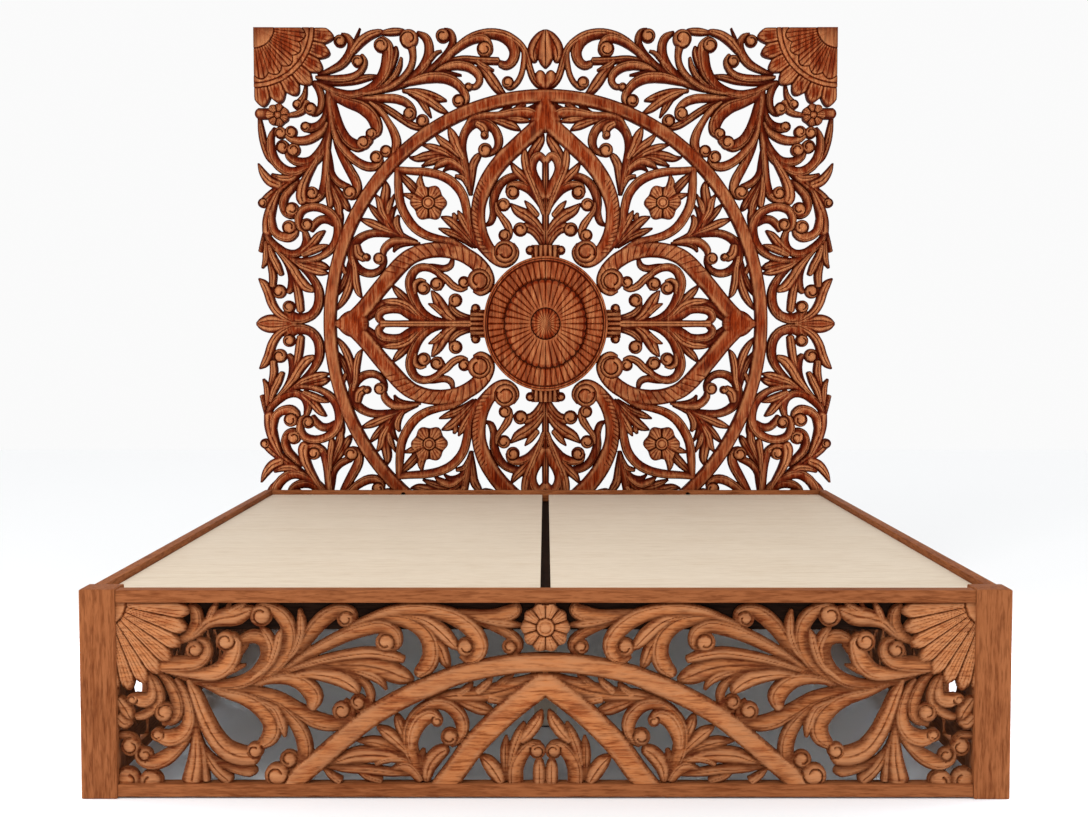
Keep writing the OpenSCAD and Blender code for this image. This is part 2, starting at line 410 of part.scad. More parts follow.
// Leaves and scrolls inside the arches of the foot panel
FOOT_ARCH_LEAVES = [
    [[268, 200, 6], [210, 212, 24], [165, 213, 30], [120, 219, 36], [80, 229, 38], [45, 243, 26],
     [8, 265, 5]],
    [[195, 214, 14], [175, 228, 16], [164, 241, 4]],
    [[152, 222, 16], [132, 238, 16], [120, 253, 4]],
    [[108, 232, 16], [88, 248, 14], [72, 261, 4]],
    [[125, 207, 20], [98, 202, 16], [78, 208, 4]],
    [[205, 204, 8], [172, 192, 24], [142, 182, 28], [120, 176, 10]],
    [[275, 22, 8], [293, 60, 24], [304, 100, 32], [303, 140, 30], [286, 172, 26], [256, 192, 24],
     [222, 191, 26], [196, 170, 30], [186, 142, 28], [194, 116, 20], [212, 100, 10]],
    [[300, 95, 18], [294, 130, 30], [278, 157, 34], [256, 167, 30], [243, 157, 24]],
    [[280, 45, 6], [302, 90, 14], [318, 125, 22], [328, 150, 22], [334, 168, 8]],
    [[292, 65, 6], [322, 98, 20], [352, 125, 26], [377, 142, 5]],
    [[292, 62, 6], [335, 90, 22], [380, 105, 26], [422, 110, 5]],
    [[300, 58, 8], [355, 76, 28], [420, 77, 36], [460, 66, 20], [484, 59, 5]],
    [[290, 55, 6], [325, 70, 14], [358, 68, 16], [381, 57, 8]],
    [[300, 34, 8], [350, 38, 18], [400, 44, 20], [450, 46, 16], [494, 51, 4]],
    [[345, 46, 5], [315, 52, 24], [295, 38, 22], [282, 20, 16]],
    [[276, 22, 8], [280, 52, 20], [278, 78, 14], [273, 90, 5]],
    [[268, 20, 16], [262, 52, 32], [243, 78, 34], [225, 90, 22]],
    [[497, 46, 4], [482, 32, 14], [462, 18, 20]],
    [[420, 42, 10], [400, 28, 16], [370, 18, 16]],
    [[146, 76, 5], [128, 60, 28], [112, 38, 32], [100, 18, 22]],
    [[88, 120, 4], [90, 92, 20], [90, 60, 20], [88, 22, 14]],
    [[48, 151, 4], [58, 126, 20], [70, 95, 22], [80, 55, 14]],
    [[8, 179, 4], [18, 156, 24], [36, 130, 26], [54, 110, 14]],
    [[68, 15, 34], [67, 48, 34], [54, 77, 30], [34, 97, 26], [12, 100, 14]],
    [[14, 69, 6], [14, 50, 24], [14, 15, 26]],
];
// Great arch and pointed arch of the foot panel
FOOT_BANDS = [
    [[590, -10, 42], [560, 22, 42], [500, 75, 42], [450, 118, 42], [400, 158, 42], [350, 190, 42],
     [300, 216, 42], [250, 238, 42], [200, 258, 40], [150, 271, 40], [100, 280, 40], [50, 286, 40],
     [0, 288, 40]],
    [[235, 0, 50], [200, 46, 50], [165, 95, 50], [125, 138, 50], [80, 180, 50], [40, 212, 50],
     [0, 242, 50]],
];
// Round ends of the scrolls, as [across, up, radius]
FOOT_BALLS = [
    [785, 316, 19], [715, 336, 21], [636, 394, 24], [447, 386, 18], [358, 334, 21], [178, 323, 20],
    [80, 323, 16], [420, 198, 17], [457, 178, 20], [576, 68, 20], [603, 33, 26], [652, 88, 18],
    [870, 124, 14], [855, 175, 21], [932, 97, 20], [899, 78, 16], [940, 22, 28], [886, 18, 26],
    [215, 119, 19], [243, 156, 12], [18, 87, 17], [925, 205, 12],
];

// ---- Shapes shared by the carved panels ----

// Point at part t of the way from b to c on a smooth curve through a, b, c and d
function between(a, b, c, d, t) =
    0.5 * (2 * b + (c - a) * t + (2 * a - 5 * b + 4 * c - d) * t * t + (3 * b - a - 3 * c + d) * t * t * t);

// Unit vector from point i of a list to the next point
function heading(p, i) =
    let (a = p[max(i, 0)], b = p[min(max(i, 0) + 1, len(p) - 1)], d = [b[0] - a[0], b[1] - a[1]])
    d / max(norm(d), 0.001);

// True where the centre line turns sharply at either end of span i
function bends(p, i) =
    min(heading(p, i) * heading(p, i - 1), heading(p, i) * heading(p, min(i + 1, len(p) - 2))) < BEND_COS;

// Centre line of a stroke, with an extra point in each span that bends
function spine(p) = [
    for (i = [0 : len(p) - 2])
        for (t = bends(p, i) ? [0, 0.5] : [0])
            between(p[max(i - 1, 0)], p[i], p[i + 1], p[min(i + 2, len(p) - 1)], t),
    p[len(p) - 1],
];

// Unit vector square to the centre line at point i
function across(s, i) =
    let (v = s[min(i + 1, len(s) - 1)] - s[max(i - 1, 0)], l = sqrt(v[0] * v[0] + v[1] * v[1]))
    [-v[1] / l, v[0] / l];

// Point on the edge of the stroke, side 1 or -1
function edge(s, i, side) = [s[i][0], s[i][1]] + side * max(s[i][2], 3) / 2 * across(s, i);

module stroke(points) {
    s = spine(points);
    for (i = [0 : len(s) - 2])
        polygon([edge(s, i, 1), edge(s, i + 1, 1), edge(s, i + 1, -1), edge(s, i, -1)]);
}

module strokes(lists) {
    for (list = lists)
        for (points = list)
            stroke(points);
}

module round_ends(balls) {
    for (b = balls)
        translate([b[0], b[1]]) circle(r = b[2], $fn = 12);
}

module ellipse(rx, ry, sides = 72) {
    polygon([for (a = [0 : 360 / sides : 359.9]) [rx * cos(a), ry * sin(a)]]);
}

// Fan of petals in a corner: a quarter turn of lobes around the corner point
module corner_fan(r, lobe, lobes, flat = 1) {
    steps = lobes * 4;
    polygon(concat([[0, 0]], [
        for (k = [0 : steps])
            let (a = 90 * k / steps, rr = r + lobe * abs(sin(lobes * a * 2)))
            [rr * cos(a), flat * rr * sin(a)],
    ]));
}

// Round flower with a wavy edge
module flower(r, wave, petals) {
    polygon([for (a = [0 : 6 : 354]) (r + wave * cos(petals * a)) * [cos(a), sin(a)]]);
}

// ---- Headboard ----

module head_quarter() {
    strokes([HEAD_CORNER_SCROLLS, HEAD_SIDE_FOLIAGE, HEAD_RING_SPRAYS, HEAD_ARCH_TREES,
             HEAD_FRAME_LEAVES, HEAD_BANDS, HEAD_TIPS]);
    round_ends(HEAD_BALLS);
    translate([1058, DRAWN_HEAD_HALF_H]) mirror([1, 0]) mirror([0, 1]) corner_fan(264, 28, 7);
    intersection() {
        difference() {
            ellipse(812, 850, 96);
            ellipse(767, 805, 96);
        }
        square(900);
    }
    intersection() {
        ellipse(228, 247);
        square(300);
    }
    // Collars above and beside the medallion
    translate([0, 230]) square([50, 56]);
    translate([215, 0]) square([59, 50]);
    round_ends([[58, 268, 18], [256, 58, 18]]);
    translate([427, 441]) flower(61, 5, 6);
    // Bud in the middle of the top edge
    polygon([[0, 1063], [20, 1050], [44, 1032], [64, 1006], [56, 968], [42, 956], [28, 962], [0, 930]]);
    polygon([[0, 900], [12, 912], [30, 912], [38, 898], [32, 878], [0, 850]]);
    // Stub that ties the small flower to the side edge
    translate([1000, 744]) square([44, 38]);
}

// Plate with one corner at x0, y0, w wide and h high, with everything outside its children cut away.
// The gaps are cut in nx by ny cells of whole millimetres that together are a little larger than the plate.
module pierced_plate(x0, y0, w, h, nx, ny) {
    cell_w = ceil(w / nx) + 2;
    cell_h = ceil(h / ny) + 2;
    difference() {
        translate([x0, y0]) square([w, h]);
        for (i = [0 : nx - 1])
            for (j = [0 : ny - 1])
                offset(delta = 0) difference() {
                    translate([x0 - nx + i * cell_w, y0 - ny + j * cell_h]) square([cell_w, cell_h]);
                    union() children();
                }
    }
}

module head_field() {
    offset(delta = fuse) {
        for (sx = [0, 1])
            for (sz = [0, 1])
                mirror([sx, 0]) mirror([0, sz]) head_quarter();
        // Short ties that close the gaps on the two middle lines
        square([1840, 12], center = true);
        square([12, 1710], center = true);
    }
}

module head_half_outline() {
    pierced_plate(0, -1080, 1070, 2160, 3, 6) head_field();
}

// Draws its children, given in the plane of a carved panel, as a plate that stands across the bed
module upright(front_y, thickness) {
    translate([0, front_y + thickness, 0]) rotate([90, 0, 0]) linear_extrude(thickness) children();
}

// Right half of the headboard; the halves are dowelled together on the middle line
module headboard_half() {
    color(wood_deep) difference() {
        upright(head_y, head_t) translate([0, head_mid]) head_half_outline();
        headboard_insert_rods();
        medallion_dowel_rods();
        seam_dowel_rods();
    }
}

module headboard_left() { mirror([1, 0, 0]) headboard_half(); }

module headboard_right() { headboard_half(); }

seam_dowel_d = 12;
seam_dowel_l = 90;

// Dowels across the middle line, behind the medallion
module seam_dowel_rods() {
    for (z = [-150, 0, 150])
        translate([-seam_dowel_l / 2, head_y + head_t / 2, head_mid + z]) rotate([0, 90, 0])
            cylinder(d = seam_dowel_d, h = seam_dowel_l);
}

module seam_dowels() {
    color(pine) seam_dowel_rods();
}

// Round rod along the bed, from y0 to y1
module rod(x, z, y0, y1, d) {
    translate([x, y0, z]) rotate([-90, 0, 0]) cylinder(d = d, h = y1 - y0);
}

// ---- Medallion, built up from three applied discs ----

dish_t = 14;
rosette_t = 10;
button_t = 8;
dowel_d = 10;
dowel_x = 60;

module medallion_dowel_rods() {
    for (x = [-dowel_x, dowel_x])
        rod(x, head_mid, head_y - dish_t + 2, head_y + 16, dowel_d);
}

module medallion_dish() {
    color(wood) difference() {
        upright(head_y - dish_t, dish_t) translate([0, head_mid]) ellipse(226, 245);
        medallion_dowel_rods();
    }
}

module medallion_rosette() {
    front = head_y - dish_t - rosette_t;
    color(wood) upright(front, rosette_t) translate([0, head_mid]) ellipse(148, 160);
}

module medallion_button() {
    front = head_y - dish_t - rosette_t - button_t;
    color(wood) upright(front, button_t) translate([0, head_mid]) ellipse(52, 56, 48);
}

module medallion_dowels() {
    color(pine) medallion_dowel_rods();
}

// ---- Foot panel and side panels ----

module panel_half() {
    intersection() {
        translate([0, DRAWN_FOOT_LOW]) square([DRAWN_FOOT_HALF_W, DRAWN_FOOT_H]);
        union() {
            strokes([FOOT_SCROLLS, FOOT_ARCH_LEAVES, FOOT_BANDS]);
            round_ends(FOOT_BALLS);
            translate([985, 424]) mirror([1, 0]) mirror([0, 1]) corner_fan(172, 14, 8, 1.08);
        }
    }
}

// Carved field with a tongue all round it, w wide and centred on x = 0
module panel_outline(w) {
    stretch = w / 2 / DRAWN_FOOT_HALF_W;
    offset(delta = fuse)
        for (side = [0, 1])
            mirror([side, 0]) translate([0, open_low - DRAWN_FOOT_LOW]) scale([stretch, 1]) panel_half();
    difference() {
        translate([-w / 2 - groove, open_low - groove])
            square([w + 2 * groove, open_top - open_low + 2 * groove]);
        translate([-w / 2, open_low]) square([w, open_top - open_low]);
    }
}

// The carved field with the rosette's round pad and its neck, cut back to the opening and the tongue
module panel_shape(w) {
    margin = groove + 4;
    pierced_plate(-w / 2 - margin, open_low - margin, w + 2 * margin, open_top - open_low + 2 * margin, 6, 1) {
        panel_outline(w);
        translate([0, rosette_z]) circle(r = 48, $fn = 36);
        translate([-22, rosette_z]) square([44, open_top - rosette_z + 1]);
    }
}

rosette_z = open_low + 353;
rosette_h = 5;

module foot_panel() {
    color(wood) upright(panel_front_y, panel_t) panel_shape(2 * open_x);
}

// Flower glued on in the middle of the foot panel's top edge
module foot_rosette() {
    color(wood) upright(panel_front_y - rosette_h, rosette_h) translate([0, rosette_z]) flower(48, 4, 8);
}

// A side panel faces outwards; side is 1 on the right and -1 on the left
module side_panel(side) {
    length = leg_front_y - post_back_y;
    x = side > 0 ? deck_side_x : -deck_side_x - panel_t;
    color(wood) translate([x, post_back_y + length / 2, 0]) rotate([90, 0, 90])
        linear_extrude(panel_t) panel_shape(length);
}

// ---- Posts, legs and rails ----

// Box between two opposite corners
module box(a, b) {
    translate([min(a[0], b[0]), min(a[1], b[1]), min(a[2], b[2])])
        cube([abs(b[0] - a[0]), abs(b[1] - a[1]), abs(b[2] - a[2])]);
}

// Tenons of both foot rails at one end, drawn for the right end
module foot_tenon(z, h) {
    mid = (rail_front_y + rail_back_y) / 2 + 6;
    box([open_x, mid - tenon_t / 2, z], [open_x + tenon_l, mid + tenon_t / 2, z + h]);
}

// Tenon of a right side rail; it runs along the bed from y0 to y1
module side_tenon(y0, y1, z, h) {
    mid = (deck_side_x + rail_x) / 2;
    box([mid - tenon_t / 2, y0, z], [mid + tenon_t / 2, y1, z + h]);
}

module foot_rail(z) {
    box([-open_x, rail_front_y, z], [open_x, rail_back_y, z + rail_h]);
}

// Groove for the foot panel's tongue along a rail
module foot_groove(z) {
    box([-open_x - 1, panel_front_y, z], [open_x + 1, panel_back_y, z + groove]);
}

module foot_top_rail() {
    color(wood) difference() {
        union() {
            foot_rail(open_top);
            for (m = [0, 1]) mirror([m, 0, 0]) foot_tenon(top_tenon_z, top_tenon_h);
        }
        foot_groove(open_top);
    }
}

module foot_bottom_rail() {
    color(wood) difference() {
        union() {
            foot_rail(rail_gap);
            for (m = [0, 1]) mirror([m, 0, 0]) foot_tenon(low_tenon_z, low_tenon_h);
        }
        foot_groove(open_low - groove);
    }
}

// Right foot post with its mortises, its two grooves and its screw holes
module foot_post() {
    color(wood) difference() {
        box([open_x, foot_y, 0], [post_x, post_back_y, post_h]);
        foot_tenon(top_tenon_z, top_tenon_h);
        foot_tenon(low_tenon_z, low_tenon_h);
        side_tenon(post_back_y - tenon_l, post_back_y, top_tenon_z, top_tenon_h);
        side_tenon(post_back_y - tenon_l, post_back_y, low_tenon_z, low_tenon_h);
        box([open_x, panel_front_y, open_low - groove], [open_x + groove, panel_back_y, open_top + groove]);
        box([deck_side_x, post_back_y - groove, open_low - groove],
            [deck_side_x + panel_t, post_back_y, open_top + groove]);
        bracket_screw_rods();
    }
}

module foot_post_left() { mirror([1, 0, 0]) foot_post(); }

module foot_post_right() { foot_post(); }

// Right leg under the head end of the side rail
module head_leg() {
    color(wood) difference() {
        box([open_x, leg_front_y, 0], [rail_x, head_y, deck_low]);
        side_tenon(leg_front_y, leg_front_y + tenon_l, low_tenon_z, low_tenon_h);
        box([deck_side_x, leg_front_y, open_low - groove],
            [deck_side_x + panel_t, leg_front_y + groove, deck_low]);
        bracket_screw_rods();
        headboard_bolt_rods();
    }
}

module head_leg_left() { mirror([1, 0, 0]) head_leg(); }

module head_leg_right() { head_leg(); }

// The side top rail runs over the head leg to the headboard
module side_top_rail() {
    color(wood) difference() {
        union() {
            box([deck_side_x, post_back_y, open_top], [rail_x, head_y, rail_top]);
            side_tenon(post_back_y - tenon_l, post_back_y, top_tenon_z, top_tenon_h);
            box([deck_side_x, leg_front_y + groove, deck_low], [rail_x, head_y, open_top]);
        }
        box([deck_side_x, post_back_y, open_top], [deck_side_x + panel_t, leg_front_y + groove, open_top + groove]);
    }
}

module side_top_rail_left() { mirror([1, 0, 0]) side_top_rail(); }

module side_top_rail_right() { side_top_rail(); }

module side_bottom_rail() {
    color(wood) difference() {
        union() {
            box([deck_side_x, post_back_y, rail_gap], [rail_x, leg_front_y, open_low]);
            side_tenon(post_back_y - tenon_l, leg_front_y + tenon_l, low_tenon_z, low_tenon_h);
        }
        box([deck_side_x, post_back_y, open_low - groove], [deck_side_x + panel_t, leg_front_y, open_low]);
    }
}

module side_bottom_rail_left() { mirror([1, 0, 0]) side_bottom_rail(); }

module side_bottom_rail_right() { side_bottom_rail(); }

module side_panel_left() { side_panel(-1); }

module side_panel_right() { side_panel(1); }

head_rail_d = 25;

// Low rail in front of the headboard, level with the side rails
module head_rail() {
    color(wood) difference() {
        box([-deck_side_x, head_y - head_rail_d, deck_low], [deck_side_x, head_y, rail_top]);
        headboard_bolt_rods();
    }
}

// ---- Ledgers, beam and their legs ----

// Ledger across the foot, with a lip in front of the deck's edge
module foot_ledger() {
    color(wood) difference() {
        union() {
            box([-open_x, panel_back_y, ledger_low], [open_x, rail_back_y + foot_rail_d, deck_low]);
            box([-open_x, panel_back_y, deck_low], [open_x, rail_back_y, open_top]);
        }
        bracket_screw_rods();
        mirror([1, 0, 0]) bracket_screw_rods();
    }
}

module head_ledger() {
    color(wood) difference() {
        box([-open_x, head_y - ledger_d, ledger_low], [open_x, head_y, deck_low]);
        bracket_screw_rods();
        mirror([1, 0, 0]) bracket_screw_rods();
    }
}

module side_ledger() {
    color(wood) difference() {
        box([deck_side_x - ledger_d, post_back_y, ledger_low], [deck_side_x, leg_front_y, deck_low]);
        bracket_screw_rods();
    }
}

module side_ledger_left() { mirror([1, 0, 0]) side_ledger(); }

module side_ledger_right() { side_ledger(); }

beam_front_y = rail_back_y + foot_rail_d;
beam_back_y = head_y - ledger_d;
beam_low = ledger_low - 12;

module centre_beam() {
    color(pine) box([-beam_w / 2, beam_front_y, beam_low], [beam_w / 2, beam_back_y, deck_low]);
}

hanger_l = 45;
hanger_t = 3;

// U-shaped hanger at the foot end of the beam: seat, two cheeks and two ears on the ledger
module beam_hanger() {
    out = beam_w / 2 + hanger_t;
    box([-out, beam_front_y, beam_low - hanger_t], [out, beam_front_y + hanger_l, beam_low]);
    for (m = [0, 1]) mirror([m, 0, 0]) {
        box([beam_w / 2, beam_front_y, beam_low], [out, beam_front_y + hanger_l, deck_low - 8]);
        box([out, beam_front_y, ledger_low], [out + 25, beam_front_y + hanger_t, deck_low - 8]);
    }
}

module beam_hangers() {
    color(steel) {
        beam_hanger();
        translate([0, beam_front_y + beam_back_y, 0]) mirror([0, 1, 0]) beam_hanger();
    }
}

leg_w = 60;
leg_y = 460;
glide_h = 6;

module centre_leg(y) {
    color(pine) box([-leg_w / 2, y - leg_w / 2, glide_h], [leg_w / 2, y + leg_w / 2, beam_low]);
}

module centre_leg_front() { centre_leg(-leg_y); }

module centre_leg_back() { centre_leg(leg_y); }

module leg_glides() {
    color("dimgray") for (y = [-leg_y, leg_y])
        translate([0, y, 0]) cylinder(r = 22, h = glide_h);
}

// ---- Corner brackets and their screws ----

// Places of the right-hand brackets: [x, y, quarter turns]; the upright leaf is at the place and
// the flat leaf runs away from it under a ledger
side_mid_x = deck_side_x - ledger_d / 2 - 2;
foot_mid_y = panel_back_y + 34;
head_mid_y = head_y - ledger_d / 2 - 4;
bracket_places = [
    [side_mid_x, post_back_y, 0],
    [side_mid_x, leg_front_y, 180],
    [open_x, foot_mid_y, 90],
    [open_x, head_mid_y, 90],
];

// Bracket in its own place: upright leaf on the plane y = 0, flat leaf towards +Y under z = 0
module bracket() {
    box([-bracket_w / 2, 0, -bracket_l], [bracket_w / 2, bracket_t, 0]);
    box([-bracket_w / 2, bracket_t, -bracket_t], [bracket_w / 2, bracket_l, 0]);
}

// Screws of one bracket: one into the post, one up into the ledger
module bracket_screw_pair() {
    translate([0, bracket_t, -bracket_l * 0.7]) rotate([90, 0, 0]) cylinder(d = screw_d, h = screw_l);
    translate([0, bracket_l * 0.7, -bracket_t]) cylinder(d = screw_d, h = screw_l);
}

module at_brackets() {
    for (p = bracket_places)
        translate([p[0], p[1], ledger_low]) rotate([0, 0, p[2]]) children();
}

module bracket_screw_rods() { at_brackets() bracket_screw_pair(); }

module corner_brackets() {
    color(steel) for (m = [0, 1]) mirror([m, 0, 0]) difference() {
        at_brackets() bracket();
        bracket_screw_rods();
    }
}

screw_head_d = 9;
screw_head_h = 3;

module bracket_screws() {
    color(steel) for (m = [0, 1]) mirror([m, 0, 0]) {
        bracket_screw_rods();
        at_brackets() {
            translate([0, bracket_t + screw_head_h, -bracket_l * 0.7]) rotate([90, 0, 0])
                cylinder(d = screw_head_d, h = screw_head_h);
            translate([0, bracket_l * 0.7, -bracket_t - screw_head_h])
                cylinder(d = screw_head_d, h = screw_head_h);
        }
    }
}

// ---- Bolts that hold the headboard ----

bolt_head_d = 16;
bolt_head_h = 6;

// Front of the leg or rail that a bolt goes through
function bolt_front(p) = p[0] > open_x ? leg_front_y : head_y - head_rail_d;

// Bolts from the leg or rail to the end of the insert's thread, with their heads sunk flush
module headboard_bolt_rods() {
    for (m = [0, 1]) mirror([m, 0, 0])
        for (p = head_bolts) {
            rod(p[0], p[1], bolt_front(p), head_y + insert_l - 4, bolt_d);
            rod(p[0], p[1], bolt_front(p), bolt_front(p) + bolt_head_h, bolt_head_d);
        }
}

module headboard_bolts() {
    color(steel) headboard_bolt_rods();
}

module headboard_insert_rods() {
    for (m = [0, 1]) mirror([m, 0, 0])
        for (p = head_bolts)
            rod(p[0], p[1], head_y, head_y + insert_l, insert_d);
}

module headboard_inserts() {
    color(brass) difference() {
        headboard_insert_rods();
        headboard_bolt_rods();
    }
}

// ---- Deck ----

deck_front_y = rail_back_y + clear;
deck_back_y = head_y - head_rail_d - clear;
deck_out_x = deck_side_x - clear;

// Right-hand deck board, notched around the foot post
module deck_board() {
    color(pine) difference() {
        box([deck_gap / 2, deck_front_y, deck_low], [deck_out_x, deck_back_y, deck_top]);
        box([open_x - clear, deck_front_y - 1, deck_low - 1], [deck_out_x + 1, post_back_y + clear, deck_top + 1]);
    }
}

module deck_board_left() { mirror([1, 0, 0]) deck_board(); }

module deck_board_right() { deck_board(); }

batten_w = 60;
batten_t = 20;
batten_pitch = 500;

// Battens that stiffen one board, between the beam and the side ledger
module deck_battens() {
    x0 = beam_w / 2 + 15;
    x1 = deck_side_x - ledger_d - 15;
    color(pine) for (k = [-1.5 : 1 : 1.5])
        box([x0, k * batten_pitch - batten_w / 2, deck_low - batten_t],
            [x1, k * batten_pitch + batten_w / 2, deck_low]);
}

module deck_battens_left() { mirror([1, 0, 0]) deck_battens(); }

module deck_battens_right() { deck_battens(); }

headboard_left();
headboard_right();
seam_dowels();
medallion_dish();
medallion_rosette();
medallion_button();
medallion_dowels();
foot_panel();
foot_rosette();
foot_top_rail();
foot_bottom_rail();
foot_post_left();
foot_post_right();
side_panel_left();
side_panel_right();
side_top_rail_left();
side_top_rail_right();
side_bottom_rail_left();
side_bottom_rail_right();
head_leg_left();
head_leg_right();
head_rail();
foot_ledger();
head_ledger();
side_ledger_left();
side_ledger_right();
centre_beam();
beam_hangers();
centre_leg_front();
centre_leg_back();
leg_glides();
corner_brackets();
bracket_screws();
headboard_bolts();
headboard_inserts();
deck_board_left();
deck_board_right();
deck_battens_left();
deck_battens_right();
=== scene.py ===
"""Looks of the carved bed: carved panels built from height maps, plain timber, wood and pine materials."""

import math

import bmesh
import bpy
import numpy as np
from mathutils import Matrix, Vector


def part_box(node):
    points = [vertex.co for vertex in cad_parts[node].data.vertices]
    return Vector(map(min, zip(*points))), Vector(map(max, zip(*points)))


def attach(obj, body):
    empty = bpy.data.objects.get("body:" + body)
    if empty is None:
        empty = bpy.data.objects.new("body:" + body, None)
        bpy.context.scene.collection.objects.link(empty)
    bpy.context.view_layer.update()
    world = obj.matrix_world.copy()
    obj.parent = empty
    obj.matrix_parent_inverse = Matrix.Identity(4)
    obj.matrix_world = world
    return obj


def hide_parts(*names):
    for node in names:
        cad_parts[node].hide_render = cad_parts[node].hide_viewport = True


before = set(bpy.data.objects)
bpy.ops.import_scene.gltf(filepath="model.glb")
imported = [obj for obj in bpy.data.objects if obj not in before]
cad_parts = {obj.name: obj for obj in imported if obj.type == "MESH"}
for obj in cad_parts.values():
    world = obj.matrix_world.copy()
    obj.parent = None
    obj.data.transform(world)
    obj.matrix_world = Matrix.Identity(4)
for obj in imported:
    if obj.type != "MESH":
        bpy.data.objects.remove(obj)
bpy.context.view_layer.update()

# ---- The carving, in millimetres ----
# A stroke is a list of points on its centre line, [across, up, width].
# The headboard's points are measured from the medallion's centre, and one quarter is listed.
# The foot panel's points are measured from the middle of the bed, and one half is listed.

